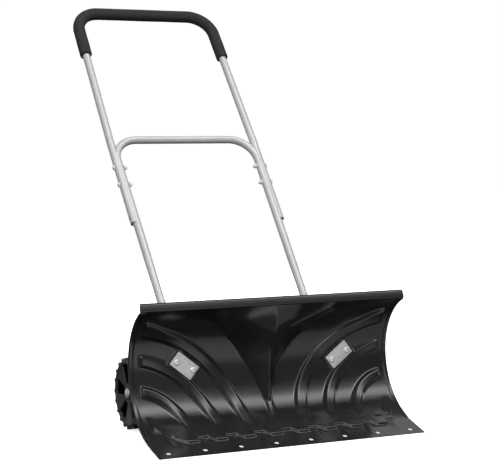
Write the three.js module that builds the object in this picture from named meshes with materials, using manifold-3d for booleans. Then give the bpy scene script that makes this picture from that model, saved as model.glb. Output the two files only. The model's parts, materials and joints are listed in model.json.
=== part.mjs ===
// Wheeled snow pusher: a curved plastic blade on two small wheels, pushed by a tall
// tube handle with a foam grip. Millimetres, +Z up, the blade faces -Y.
import * as THREE from 'three';
import { mergeVertices } from 'three/addons/utils/BufferGeometryUtils.js';
import Module from 'manifold-3d';

const wasm = await Module();
wasm.setup();

// ---- driving dimensions -------------------------------------------------------------

const GAP = 0.3; // clearance left between pieces that touch

// Blade: a sheet whose side view is a flat lip, a lower arc and an upper arc that curls forward.
const BLADE_WIDTH = 660;
const BLADE_WALL = 3.6;
const LIP_EDGE = 1.5;
const LIP_ANGLE = THREE.MathUtils.degToRad(16);
const LIP_LENGTH = 70;
const LOWER_RADIUS = 160;
const UPPER_RADIUS = 140;
const CURL_ANGLE = THREE.MathUtils.degToRad(66);
const RIM_TOP = 321;
const RIM_DEPTH = 7;
const LIP_HOLES = 8;
const LIP_HOLE_PITCH = 86;
const LIP_HOLE_RADIUS = 5.5;
const LIP_HOLE_SETBACK = 20;

// Ribs are arcs round the blade's two lower corners; the prow lies outside the largest arc.
const RIBS = [
  { centre: new THREE.Vector2(327, -3), inner: 48, outer: 67 },
  { centre: new THREE.Vector2(327, -3), inner: 110, outer: 130 },
  { centre: new THREE.Vector2(350, -30), inner: 207, outer: 230 },
  { centre: new THREE.Vector2(350, -30), inner: 274, outer: 300 },
];
const RIB_HEIGHT = 7;
const RIB_END = 303;
const RIB_FOOT = 30;
const PROW_RADIUS = 328;
const PROW_FOOT_HALF_WIDTH = 9;
const PROW_RIDGE_Y = 142;
const PROW_RIDGE_HALF_WIDTH = 7;

// Clamp plates and the blade's flat mounting pads.
const PLATE_CENTRE = new THREE.Vector2(198, 166.5);
const PLATE_SIZE = new THREE.Vector2(63, 36);
const PLATE_THICKNESS = 3;
const PLATE_TILT = Math.atan2(BLADE_WIDTH / 2 - PLATE_CENTRE.x, PLATE_CENTRE.y);
const PAD_SIZE = new THREE.Vector2(74, 46);
const PAD_FRONT_Y = 177.4;
const PAD_BACK_Y = 188.4;
const BLADE_BOLTS = [new THREE.Vector2(217, 175.5), new THREE.Vector2(178, 155)];
const BLADE_BOLT_RADIUS = 3;

// Tube frames. Positions along the handle are measured from ROOT, up its lean.
const LEAN = THREE.MathUtils.degToRad(40);
const ROOT = new THREE.Vector2(232, 166);
const TUBE_RADIUS = 10;
const TUBE_WALL = 1.2;
const CORNER_RADIUS = 65;
const LEG_FOOT = -22;
const LEG_KINK = 120;
const LEG_FOOT_X = 187.5;
const LOWER_BAR = 657;
const LOWER_BAR_X = 194.3;
const UPPER_FOOT = 395;
const UPPER_BEND = 645;
const UPPER_FOOT_OFFSET = 6.4;
const UPPER_BEND_OFFSET = 5;
const UPPER_BAR = 1095.1;
const UPPER_BAR_X = 193.5;
const GRIP_END = 942;
const GRIP_RADIUS = 16;
const HANDLE_HOLES = [568, 515, 462, 408];
const HANDLE_BOLTS = HANDLE_HOLES.slice(0, 2);
const HANDLE_BOLT_RADIUS = 3;
const LEG_BOLTS = [15, 65];
const LEG_BOLT_RADIUS = 4;

// Side plates, axle and wheels.
const SIDE_PLATE_X = 198.6;
const SIDE_PLATE_THICKNESS = 4;
const TAB_WIDTH = 37;
const WHEEL_RADIUS = 84;
const AXLE = new THREE.Vector2(330, WHEEL_RADIUS);
const AXLE_RADIUS = 6;
const AXLE_HALF_LENGTH = 279.5;
const WHEEL_INNER_X = 241;
const WHEEL_OUTER_X = 281;
const RIM_RADIUS = 78;
const RIM_INNER = 71;
const RIM_WALL = 5;
const DISC_RADIUS = 73;
const HUB_RADIUS = 17;
const TREAD_LUGS = 20;
const LUG_LENGTH = 10;
const LUG_PHASE = THREE.MathUtils.degToRad(-4);
const SPOKES = 5;
const WINDOW_PHASE = THREE.MathUtils.degToRad(8);

// ---- finishes -----------------------------------------------------------------------

const finish = (color, roughness, metalness) =>
  new THREE.MeshStandardMaterial({ color, roughness, metalness });
const bladePlastic = finish(0x1d1d1c, 0.28, 0);
const wheelPlastic = finish(0x242424, 0.5, 0);
const plugPlastic = finish(0x2a2a2a, 0.6, 0);
const foam = finish(0x2b2b29, 0.95, 0);
const silverTube = finish(0xc6c8c8, 0.4, 0.6);
const zinc = finish(0xb6b8b7, 0.35, 0.9);
const brightZinc = finish(0xd6d7d3, 0.25, 0.95);
const blackSteel = finish(0x3a3b3b, 0.5, 0.6);

// ---- helpers ------------------------------------------------------------------------

function solid(geometry) {
  const bare = geometry.clone();
  bare.deleteAttribute('normal');
  bare.deleteAttribute('uv');
  const merged = mergeVertices(bare, 1e-4);
  return new wasm.Manifold(new wasm.Mesh({
    numProp: 3,
    vertProperties: merged.attributes.position.array,
    triVerts: new Uint32Array(merged.index.array),
  }));
}

function geometryOf(body) {
  const mesh = body.getMesh();
  const geometry = new THREE.BufferGeometry();
  geometry.setAttribute('position', new THREE.BufferAttribute(mesh.vertProperties, 3));
  geometry.setIndex(new THREE.BufferAttribute(mesh.triVerts, 1));
  geometry.computeVertexNormals();
  return geometry;
}

const union = (bodies) => bodies.reduce((sum, body) => sum.add(body));
const mirrored = (body) => body.mirror([1, 0, 0]);
const bothSides = (body) => body.add(mirrored(body));

// A cylinder between two points on a line along one of the axes.
function rod(axis, radius, from, to, centre, segments = 16) {
  const geometry = new THREE.CylinderGeometry(radius, radius, Math.abs(to - from), segments);
  const middle = (from + to) / 2;
  if (axis === 'x') {
    geometry.rotateZ(Math.PI / 2);
    geometry.translate(middle, centre.x, centre.y);
  } else {
    geometry.translate(centre.x, middle, centre.y);
  }
  return solid(geometry);
}

// A turned piece: the profile's points are (radius, place along the axis).
function turned(axis, profile, centre, segments = 16) {
  const points = profile.map(([radius, place]) => new THREE.Vector2(radius, place));
  const geometry = new THREE.LatheGeometry(points, segments);
  if (axis === 'x') {
    geometry.rotateZ(-Math.PI / 2);
    geometry.translate(0, centre.x, centre.y);
  } else {
    geometry.translate(centre.x, 0, centre.y);
  }
  return solid(geometry);
}

const ring = (axis, inner, outer, from, to, centre, segments = 10) =>
  turned(axis, [[inner, from], [outer, from], [outer, to], [inner, to], [inner, from]],
    centre, segments);

// A hexagonal nut with a round hole.
function nut(axis, acrossFlats, bore, from, to, centre) {
  const outer = rod(axis, acrossFlats / Math.sqrt(3), from, to, centre, 6);
  return outer.subtract(rod(axis, bore, from - 1, to + 1, centre, 10));
}

// A flat outline in X and Z, thick along Y.
function slabXZ(shape, fromY, toY) {
  const geometry = new THREE.ExtrudeGeometry(shape, { depth: toY - fromY, bevelEnabled: false });
  geometry.rotateX(Math.PI / 2);
  geometry.translate(0, toY, 0);
  return solid(geometry);
}

// A flat outline in Y and Z, thick along X.
function slabYZ(shape, fromX, toX) {
  const geometry = new THREE.ExtrudeGeometry(
    shape, { depth: toX - fromX, bevelEnabled: false, curveSegments: 6 });
  geometry.rotateY(Math.PI / 2);
  geometry.rotateX(Math.PI / 2);
  geometry.translate(fromX, 0, 0);
  return solid(geometry);
}

// A path through fixed stations, so that a swept section has a ring exactly at each one.
class StationPath extends THREE.Curve {
  constructor(stations) {
    super();
    this.stations = stations;
  }

  getPoint(t, target = new THREE.Vector3()) {
    const last = this.stations.length - 1;
    const place = THREE.MathUtils.clamp(t, 0, 1) * last;
    const index = Math.min(Math.floor(place), last - 1);
    return target.lerpVectors(this.stations[index], this.stations[index + 1], place - index);
  }

  getUtoTmapping(u) {
    return u;
  }
}

function sweep(stations, radius, segments = 6) {
  const section = new THREE.Shape();
  section.absarc(0, 0, radius, 0, 2 * Math.PI, false);
  return solid(new THREE.ExtrudeGeometry(section, {
    steps: stations.length - 1,
    curveSegments: segments,
    extrudePath: new StationPath(stations),
  }));
}

// Replaces the corner at `corner` by an arc of `radius`, given as stations.
function roundCorner(before, corner, after, radius, steps = 6) {
  const inward = before.clone().sub(corner).normalize();
  const outward = after.clone().sub(corner).normalize();
  const halfAngle = inward.angleTo(outward) / 2;
  const centre = inward.clone().add(outward).normalize()
    .multiplyScalar(radius / Math.sin(halfAngle)).add(corner);
  const start = inward.clone().multiplyScalar(radius / Math.tan(halfAngle)).add(corner);
  const first = start.clone().sub(centre);
  const side = inward.clone().negate();
  const turn = Math.PI - 2 * halfAngle;
  return Array.from({ length: steps + 1 }, (_, i) => {
    const angle = turn * i / steps;
    return centre.clone()
      .addScaledVector(first, Math.cos(angle))
      .addScaledVector(side, radius * Math.sin(angle));
  });
}

// A point on the leaning plane of the handle: x across, `along` up the lean from ROOT.
const onHandle = (x, along) => new THREE.Vector3(
  x, ROOT.x + along * Math.sin(LEAN), ROOT.y + along * Math.cos(LEAN));
const handleYZ = (along) => {
  const point = onHandle(0, along);
  return new THREE.Vector2(point.y, point.z);
};

// ---- blade --------------------------------------------------------------------------

const LOWER_ARC = LOWER_RADIUS * (Math.PI / 2 - LIP_ANGLE);
const PROFILE_LENGTH = LIP_LENGTH + LOWER_ARC + UPPER_RADIUS * CURL_ANGLE;

// The front face's side view: place and forward normal at a distance along the sheet.
function profile(distance) {
  if (distance <= LIP_LENGTH) {
    return {
      y: distance * Math.cos(LIP_ANGLE),
      z: LIP_EDGE + distance * Math.sin(LIP_ANGLE),
      ny: -Math.sin(LIP_ANGLE),
      nz: Math.cos(LIP_ANGLE),
    };
  }
  const lipEnd = profile(LIP_LENGTH);
  const centreY = lipEnd.y + LOWER_RADIUS * lipEnd.ny;
  const centreZ = lipEnd.z + LOWER_RADIUS * lipEnd.nz;
  const turn = (distance - LIP_LENGTH) / LOWER_RADIUS;
  if (turn <= Math.PI / 2 - LIP_ANGLE) {
    const angle = LIP_ANGLE + turn;
    return {
      y: centreY + LOWER_RADIUS * Math.sin(angle),
      z: centreZ - LOWER_RADIUS * Math.cos(angle),
      ny: -Math.sin(angle),
      nz: Math.cos(angle),
    };
  }
  const lean = (distance - LIP_LENGTH - LOWER_ARC) / UPPER_RADIUS;
  return {
    y: centreY + LOWER_RADIUS - UPPER_RADIUS * (1 - Math.cos(lean)),
    z: centreZ + UPPER_RADIUS * Math.sin(lean),
    ny: -Math.cos(lean),
    nz: -Math.sin(lean),
  };
}

// Half the prow's width at a height: it is bounded by two arcs about the lower corners.
function prowHalfWidth(z) {
  const reach = BLADE_WIDTH / 2 - Math.sqrt(PROW_RADIUS ** 2 - Math.min(z, PROW_RADIUS - 1) ** 2);
  return Math.max(PROW_FOOT_HALF_WIDTH, reach);
}

// How far the prow's ridge stands forward of the sheet at a height.
function prowHeight(y, z) {
  const rimY = profile(PROFILE_LENGTH).y;
  const bend = THREE.MathUtils.smoothstep(z, 195, 250);
  const ridgeY = THREE.MathUtils.lerp(PROW_RIDGE_Y, rimY + 1, bend);
  const blend = THREE.MathUtils.smoothstep(z, 45, 110);
  const foot = RIB_HEIGHT * THREE.MathUtils.smoothstep(z, 28, 40)
    * (1 - THREE.MathUtils.smoothstep(z, 110, 200));
  return THREE.MathUtils.lerp(foot, Math.max(y - ridgeY, foot), blend);
}

// The wall is thicker along Y where the prow's wings slope, up to this much.
const MOST_THICKENING = 1.8;

// The blade's two faces at a column: its ends, or the foot, middle or ridge of the prow's wings.
function bladeSection(column, distances, thickness, lift) {
  const front = [];
  const back = [];
  for (const distance of distances) {
    const place = profile(distance);
    const half = prowHalfWidth(place.z);
    const flat = Math.min(half * 0.45, PROW_RIDGE_HALF_WIDTH);
    const wing = (half + flat) / 2;
    const x = { edge: BLADE_WIDTH / 2, foot: half, wing, ridge: flat }[column.at] * column.side;
    const share = { edge: 0, foot: 0, wing: 0.5, ridge: 1 }[column.at];
    const rise = share * prowHeight(place.y, place.z);
    const slope = rise / (half - flat);
    const depth = thickness * Math.min(Math.hypot(1, slope), MOST_THICKENING);
    front.push(new THREE.Vector3(x, place.y - rise + lift * place.ny, place.z + lift * place.nz));
    back.push(new THREE.Vector3(
      x, place.y - rise - depth * place.ny, place.z - depth * place.nz));
  }
  return { front, back };
}

// Joins equal outlines into one closed body, with flat ends.
function loft(outlines) {
  const count = outlines[0].length;
  const positions = outlines.flatMap((outline) => outline.flatMap((point) => point.toArray()));
  const index = [];
  for (let i = 0; i < outlines.length - 1; i += 1) {
    for (let j = 0; j < count; j += 1) {
      const a = i * count + j;
      const b = i * count + (j + 1) % count;
      index.push(a, a + count, b, b, a + count, b + count);
    }
  }
  const end = outlines[0].map((point) => new THREE.Vector2(point.y, point.z));
  const lastRow = (outlines.length - 1) * count;
  for (const [a, b, c] of THREE.ShapeUtils.triangulateShape(end, [])) {
    index.push(a, c, b);
    index.push(lastRow + a, lastRow + b, lastRow + c);
  }
  const geometry = new THREE.BufferGeometry();
  geometry.setAttribute('position', new THREE.Float32BufferAttribute(positions, 3));
  geometry.setIndex(index);
  return solid(geometry);
}

// Distances along the sheet where its outline has a point; the ribs begin at the third.
const ROWS = 22;
const RIB_START = 98;
const bladeRows = [12, LIP_LENGTH, RIB_START];
for (let i = 1; i <= ROWS; i += 1) {
  bladeRows.push(RIB_START + (PROFILE_LENGTH - RIB_START) * i / ROWS);
}

function bladeSheet() {
  const columns = [
    { at: 'edge', side: -1 }, { at: 'foot', side: -1 }, { at: 'wing', side: -1 },
    { at: 'ridge', side: -1 }, { at: 'ridge', side: 1 }, { at: 'wing', side: 1 },
    { at: 'foot', side: 1 }, { at: 'edge', side: 1 },
  ];
  const rimY = profile(PROFILE_LENGTH).y;
  const outlines = columns.map((column) => {
    const { front, back } = bladeSection(column, bladeRows, BLADE_WALL, 0);
    const at = (points, y, z) => new THREE.Vector3(points[0].x, y, z);
    const tip = [at(front, 6, 0), at(front, 0.8, 0), at(front, 0, LIP_EDGE)];
    const top = front[front.length - 1];
    const rim = [
      at(front, rimY, RIM_TOP - 6), at(front, rimY + 2, RIM_TOP - 1.5),
      at(front, rimY + 5, RIM_TOP), at(front, rimY + RIM_DEPTH, RIM_TOP - 1),
      at(front, rimY + RIM_DEPTH, top.z + 2),
    ].map((point) => point.setX(top.x));
    return [...tip, ...front, ...rim, ...back.slice(0, -1).reverse()];
  });
  return loft(outlines);
}

function ribBody({ centre, inner, outer }) {
  const from = (radius) => Math.asin((RIB_FOOT - centre.y) / radius);
  const to = (radius) => Math.acos((centre.x - RIB_END) / radius);
  const arc = (radius) => Array.from({ length: 11 }, (_, i) => {
    const angle = THREE.MathUtils.lerp(from(radius), to(radius), i / 10);
    return new THREE.Vector2(
      centre.x - radius * Math.cos(angle), centre.y + radius * Math.sin(angle));
  });
  return slabXZ(new THREE.Shape([...arc(outer), ...arc(inner).reverse()]), 0, 250);
}

// A rectangle with cut corners, centred and tilted as the clamp plates are.
function rectangle(size, chamfer) {
  const halfX = size.x / 2;
  const halfY = size.y / 2;
  const corners = [
    [-halfX + chamfer, -halfY], [halfX - chamfer, -halfY], [halfX, -halfY + chamfer],
    [halfX, halfY - chamfer], [halfX - chamfer, halfY], [-halfX + chamfer, halfY],
    [-halfX, halfY - chamfer], [-halfX, -halfY + chamfer],
  ];
  const points = corners.map(([x, y]) => new THREE.Vector2(x, y)
    .rotateAround(new THREE.Vector2(), PLATE_TILT).add(PLATE_CENTRE));
  return new THREE.Shape(points);
}

const mountingPad = () => slabXZ(rectangle(PAD_SIZE, 8), PAD_FRONT_Y, PAD_BACK_Y);

function bladeBody() {
  const raised = [-1, 1].map((side) => {
    const rows = bladeRows.slice(2);
    const { front, back } = bladeSection({ at: 'edge', side }, rows, BLADE_WALL / 2, RIB_HEIGHT);
    return [...front, ...back.reverse()];
  });
  const raisedSheet = loft(raised);
  const ribs = union(RIBS.map(ribBody));
  let body = bladeSheet();
  body = body.add(raisedSheet.intersect(bothSides(ribs)));
  body = body.add(bothSides(mountingPad()));
  const lip = profile(LIP_HOLE_SETBACK);
  for (let i = 0; i < LIP_HOLES; i += 1) {
    const geometry = new THREE.CylinderGeometry(LIP_HOLE_RADIUS, LIP_HOLE_RADIUS, 30, 12);
    geometry.rotateX(Math.PI / 2 + LIP_ANGLE);
    geometry.translate((i - (LIP_HOLES - 1) / 2) * LIP_HOLE_PITCH, lip.y, lip.z);
    body = body.subtract(solid(geometry));
  }
  for (const centre of BLADE_BOLTS) {
    const hole = rod('y', BLADE_BOLT_RADIUS + GAP, 150, 210, centre, 12);
    body = body.subtract(bothSides(hole));
  }
  return body;
}

function clampPlate() {
  let plate = slabXZ(rectangle(PLATE_SIZE, 2.5),
    PAD_FRONT_Y - GAP - PLATE_THICKNESS, PAD_FRONT_Y - GAP);
  for (const centre of BLADE_BOLTS) {
    plate = plate.subtract(rod('y', BLADE_BOLT_RADIUS + GAP, 150, 210, centre, 12));
  }
  return plate;
}

// ---- tube frames --------------------------------------------------------------------

const lowerLegX = (along) => LEG_FOOT_X + Math.max(along - LEG_KINK, 0)
  * (LOWER_BAR_X - LEG_FOOT_X) / (LOWER_BAR - LEG_KINK);

function lowerStations(extra) {
  const corner = onHandle(LOWER_BAR_X, LOWER_BAR);
  const kink = onHandle(LEG_FOOT_X, LEG_KINK);
  const arc = roundCorner(kink, corner, onHandle(0, LOWER_BAR), CORNER_RADIUS);
  const right = [onHandle(LEG_FOOT_X, LEG_FOOT - extra), kink, ...arc];
  const left = right.map((point) => point.clone().setX(-point.x)).reverse();
  return [...right, ...left];
}

const upperOffsetX = (along) => THREE.MathUtils.mapLinear(
  along, UPPER_FOOT, UPPER_BEND, UPPER_FOOT_OFFSET, UPPER_BEND_OFFSET);

function upperStations(extra, start = UPPER_FOOT - extra) {
  const corner = onHandle(UPPER_BAR_X, UPPER_BAR);
  const bend = onHandle(lowerLegX(UPPER_BEND) + upperOffsetX(UPPER_BEND), UPPER_BEND);
  const arc = roundCorner(bend, corner, onHandle(0, UPPER_BAR), CORNER_RADIUS);
  const foot = onHandle(lowerLegX(start) + upperOffsetX(start), start);
  const right = [foot, bend, ...arc];
  const left = right.map((point) => point.clone().setX(-point.x)).reverse();
  return [...right, ...left];
}

// Holes along X through both legs.
function legHoles(places, radius) {
  const spans = places.map((along) => rod('x', radius, 150, 240, handleYZ(along), 12));
  return bothSides(union(spans));
}

function lowerFrame() {
  const outer = sweep(lowerStations(0), TUBE_RADIUS);
  const bore = sweep(lowerStations(2), TUBE_RADIUS - TUBE_WALL);
  return outer.subtract(bore)
    .subtract(legHoles(HANDLE_BOLTS, HANDLE_BOLT_RADIUS + GAP))
    .subtract(legHoles(LEG_BOLTS, LEG_BOLT_RADIUS + GAP));
}

// The ends of the upper tube are pressed to a saddle that nests round the lower tube.
function upperHandle() {
  const saddle = sweep(lowerStations(0), TUBE_RADIUS + GAP);
  const saddleWall = sweep(lowerStations(0), TUBE_RADIUS + GAP + TUBE_WALL);
  const outer = sweep(upperStations(0), TUBE_RADIUS).subtract(saddle);
  const bore = sweep(upperStations(2), TUBE_RADIUS - TUBE_WALL).subtract(saddleWall);
  return outer.subtract(bore).subtract(legHoles(HANDLE_HOLES, HANDLE_BOLT_RADIUS + GAP));
}

function foamGrip() {
  const sleeve = sweep(gripStations(0), GRIP_RADIUS);
  return sleeve.subtract(sweep(gripStations(2), TUBE_RADIUS + GAP));
}

function gripStations(extra) {
  const path = upperStations(0);
  const bend = path[1];
  const start = GRIP_END - extra;
  const share = (start - UPPER_BEND) / (UPPER_BAR - UPPER_BEND);
  const foot = new THREE.Vector3().lerpVectors(bend, onHandle(UPPER_BAR_X, UPPER_BAR), share);
  const inner = path.slice(2, -2);
  return [foot, ...inner, foot.clone().setX(-foot.x)];
}

// ---- side plates --------------------------------------------------------------------

const TAB_BACK = PAD_BACK_Y + 0.4;
const TAB_BOTTOM = 141;
const TAB_SPLIT = 164;
const TAB_TOP = 191;
const SIDE_PLATE_OUTER = SIDE_PLATE_X + SIDE_PLATE_THICKNESS;

// The outline passes round the upper leg bolt and the axle and meets the blade at the front.
function sidePlateShape() {
  const shape = new THREE.Shape();
  const boltArc = handleYZ(LEG_BOLTS[1]);
  shape.moveTo(TAB_BACK, TAB_BOTTOM);
  shape.lineTo(TAB_BACK, TAB_TOP);
  shape.absarc(boltArc.x, boltArc.y, 17, 2.0, 0.4, true);
  shape.absarc(AXLE.x, AXLE.y, 20, 0.4, -2.1, true);
  shape.closePath();
  return shape;
}

function tab(fromX, toX, fromZ, toZ) {
  const geometry = new THREE.BoxGeometry(toX - fromX, SIDE_PLATE_THICKNESS, toZ - fromZ);
  geometry.translate((fromX + toX) / 2, TAB_BACK + SIDE_PLATE_THICKNESS / 2, (fromZ + toZ) / 2);
  return solid(geometry);
}

function sidePlate() {
  let plate = slabYZ(sidePlateShape(), SIDE_PLATE_X, SIDE_PLATE_OUTER);
  plate = plate.add(tab(SIDE_PLATE_X, SIDE_PLATE_X + TAB_WIDTH, TAB_SPLIT, TAB_TOP));
  plate = plate.add(tab(SIDE_PLATE_OUTER - TAB_WIDTH, SIDE_PLATE_OUTER, TAB_BOTTOM, TAB_SPLIT));
  for (const centre of BLADE_BOLTS) {
    plate = plate.subtract(rod('y', BLADE_BOLT_RADIUS + GAP, 150, 210, centre, 12));
  }
  for (const along of LEG_BOLTS) {
    plate = plate.subtract(rod('x', LEG_BOLT_RADIUS + GAP, 150, 240, handleYZ(along), 12));
  }
  return plate.subtract(rod('x', AXLE_RADIUS + GAP, 150, 240, AXLE, 20));
}

// ---- fasteners ----------------------------------------------------------------------

// Each of these makes one fastener of the right side.
const WASHER_THICKNESS = 1.4;
const HEAD_SEAT_Y = PAD_FRONT_Y - PLATE_THICKNESS - 2 * GAP;
const BLADE_NUT_Y = TAB_BACK + SIDE_PLATE_THICKNESS + GAP;

// A domed head on a round shank; the head's seat and the shank's end are places on the axis.
function domedBolt(axis, centre, seat, end, shank, head, dome) {
  const out = Math.sign(seat - end);
  const points = [
    [0, seat + out * dome], [head * 0.5, seat + out * dome * 0.86],
    [head * 0.86, seat + out * dome * 0.5], [head, seat], [shank, seat], [shank, end], [0, end],
  ];
  return turned(axis, out > 0 ? points.reverse() : points, centre, 12);
}

const bladeBolt = (centre) =>
  domedBolt('y', centre, HEAD_SEAT_Y, BLADE_NUT_Y + 9, BLADE_BOLT_RADIUS, 7.4, 3.6);

// A hexagonal nut with a round flange under it.
function bladeNut(centre) {
  const bore = BLADE_BOLT_RADIUS + GAP;
  return ring('y', bore, 7, BLADE_NUT_Y, BLADE_NUT_Y + 1.5, centre)
    .add(nut('y', 10, bore, BLADE_NUT_Y + 1, BLADE_NUT_Y + 6.5, centre));
}

// Leg bolts: flanged head outside the side plate, washer and nut inside the frame's leg.
const LEG_HEAD_X = SIDE_PLATE_OUTER + GAP;
const LEG_INNER_X = LEG_FOOT_X - TUBE_RADIUS - GAP;
const LEG_NUT_X = LEG_INNER_X - WASHER_THICKNESS - GAP;

function legBolt(along) {
  const centre = handleYZ(along);
  return rod('x', 13 / Math.sqrt(3), LEG_HEAD_X + 1, LEG_HEAD_X + 6.3, centre, 6)
    .add(rod('x', 8.5, LEG_HEAD_X, LEG_HEAD_X + 1.6, centre))
    .add(rod('x', LEG_BOLT_RADIUS, LEG_NUT_X - 9, LEG_HEAD_X + 1, centre, 12));
}

const legWasher = (along) => ring('x', LEG_BOLT_RADIUS + GAP, 8,
  LEG_INNER_X - WASHER_THICKNESS, LEG_INNER_X, handleYZ(along));
const legNut = (along) =>
  nut('x', 13, LEG_BOLT_RADIUS + GAP, LEG_NUT_X - 6.5, LEG_NUT_X, handleYZ(along));

// Handle bolts: domed head outside the saddle, washer and nut inside the lower leg.
const handleOuterX = (along) => lowerLegX(along) + upperOffsetX(along) + TUBE_RADIUS + 2 * GAP;
const handleInnerX = (along) => lowerLegX(along) - TUBE_RADIUS - GAP;

const handleBolt = (along) => domedBolt('x', handleYZ(along), handleOuterX(along),
  handleInnerX(along) - WASHER_THICKNESS - 8, HANDLE_BOLT_RADIUS, 6.5, 3.6);
const handleWasher = (along) => ring('x', HANDLE_BOLT_RADIUS + GAP, 6.2,
  handleInnerX(along) - WASHER_THICKNESS, handleInnerX(along), handleYZ(along));

function handleNut(along) {
  const face = handleInnerX(along) - WASHER_THICKNESS - GAP;
  return nut('x', 10, HANDLE_BOLT_RADIUS + GAP, face - 5, face, handleYZ(along));
}

// ---- axle and wheels ----------------------------------------------------------------

const PIN_X = SIDE_PLATE_X - 4;
const PIN_RADIUS = 1.6;
const HUB_INNER_X = WHEEL_INNER_X - 4;
const HUB_OUTER_X = WHEEL_OUTER_X - 6;
const SPACER_OUTER_X = HUB_INNER_X - WASHER_THICKNESS - 2 * GAP;
const CAP_X = HUB_OUTER_X + WASHER_THICKNESS + 2 * GAP;
const upright = (x, radius, half) => {
  const geometry = new THREE.CylinderGeometry(radius, radius, 2 * half, 10);
  geometry.rotateX(Math.PI / 2);
  geometry.translate(x, AXLE.x, AXLE.y);
  return solid(geometry);
};

const axleRod = () => rod('x', AXLE_RADIUS, -AXLE_HALF_LENGTH, AXLE_HALF_LENGTH, AXLE, 20)
  .subtract(bothSides(upright(PIN_X, PIN_RADIUS + GAP, 20)));
const axlePin = () => upright(PIN_X, PIN_RADIUS, 12);
const axleSpacer = () =>
  ring('x', AXLE_RADIUS + GAP, 9, SIDE_PLATE_OUTER + GAP, SPACER_OUTER_X, AXLE, 20);
const axleWasher = (face) =>
  ring('x', AXLE_RADIUS + GAP, 11, face, face + WASHER_THICKNESS, AXLE, 16);

// A press-on cap: a shallow cup over the end of the axle.
const axleCap = () => turned('x', [
  [AXLE_RADIUS + 0.2, CAP_X], [11.5, CAP_X], [11.5, CAP_X + 1.5], [9, CAP_X + 3.6],
  [0, CAP_X + 4.4], [0, CAP_X + 3], [AXLE_RADIUS + 0.2, CAP_X + 3], [AXLE_RADIUS + 0.2, CAP_X],
], AXLE, 20);

// The wheel's dished disc, cut by one wide window between each pair of spokes.
function wheelDisc() {
  const disc = turned('x', [
    [0, WHEEL_OUTER_X - 11], [DISC_RADIUS, WHEEL_OUTER_X - 5], [DISC_RADIUS, WHEEL_OUTER_X - 0.5],
    [HUB_RADIUS, WHEEL_OUTER_X - 6], [0, WHEEL_OUTER_X - 6],
  ], AXLE, 36);
  const windows = Array.from({ length: SPOKES }, (_, i) => {
    const middle = 2 * Math.PI * i / SPOKES + WINDOW_PHASE;
    const shape = new THREE.Shape();
    shape.absarc(0, 0, RIM_INNER - 1, middle - 0.3, middle + 0.3, false);
    shape.absarc(0, 0, HUB_RADIUS + 7, middle + 0.42, middle - 0.42, true);
    shape.closePath();
    return slabYZ(shape, WHEEL_OUTER_X - 20, WHEEL_OUTER_X);
  });
  return disc.subtract(union(windows).translate([0, AXLE.x, AXLE.y]));
}

function treadLug(index) {
  const angle = 2 * Math.PI * index / TREAD_LUGS + LUG_PHASE;
  const top = Math.sqrt(WHEEL_RADIUS ** 2 - (LUG_LENGTH / 2) ** 2);
  const depth = top - RIM_RADIUS + 2;
  const width = WHEEL_OUTER_X - WHEEL_INNER_X - 2;
  const geometry = new THREE.BoxGeometry(width, LUG_LENGTH, depth);
  geometry.translate((WHEEL_INNER_X + WHEEL_OUTER_X) / 2, 0, top - depth / 2);
  geometry.rotateX(angle);
  geometry.translate(0, AXLE.x, AXLE.y);
  return solid(geometry);
}

function wheel() {
  const flangeX = WHEEL_OUTER_X - 12;
  const wallInner = RIM_RADIUS - RIM_WALL;
  const rim = turned('x', [
    [RIM_INNER, flangeX], [wallInner, flangeX], [wallInner, WHEEL_INNER_X],
    [RIM_RADIUS, WHEEL_INNER_X], [RIM_RADIUS, WHEEL_OUTER_X - 2], [RIM_RADIUS - 3, WHEEL_OUTER_X],
    [RIM_INNER, WHEEL_OUTER_X], [RIM_INNER, flangeX],
  ], AXLE, 36);
  const hub = turned('x', [
    [0, HUB_INNER_X], [HUB_RADIUS, HUB_INNER_X], [HUB_RADIUS, HUB_OUTER_X], [0, HUB_OUTER_X],
  ], AXLE, 20);
  const lugs = union(Array.from({ length: TREAD_LUGS }, (_, i) => treadLug(i)));
  return union([rim, wheelDisc(), hub, lugs])
    .subtract(rod('x', AXLE_RADIUS + 0.2, HUB_INNER_X - 1, HUB_OUTER_X + 1, AXLE, 20));
}

// Plugs that close the lower ends of the lower frame's legs.
function legPlug() {
  const stem = [onHandle(LEG_FOOT_X, LEG_FOOT - 3 - GAP), onHandle(LEG_FOOT_X, LEG_FOOT + 12)];
  const flange = [stem[0], onHandle(LEG_FOOT_X, LEG_FOOT - GAP)];
  return sweep(stem, TUBE_RADIUS - TUBE_WALL - GAP).add(sweep(flange, TUBE_RADIUS));
}

// ---- assembly -----------------------------------------------------------------------

const group = new THREE.Group();

function add(name, body, material) {
  const mesh = new THREE.Mesh(geometryOf(body), material);
  mesh.name = name;
  group.add(mesh);
}

function addPair(name, body, material) {
  add(`${name}_left`, mirrored(body), material);
  add(`${name}_right`, body, material);
}

// One piece at each place, on both sides.
function addRow(name, places, make, material) {
  places.forEach((place, i) => {
    const body = make(place);
    add(`${name}_left_${i + 1}`, mirrored(body), material);
    add(`${name}_right_${i + 1}`, body, material);
  });
}

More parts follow.
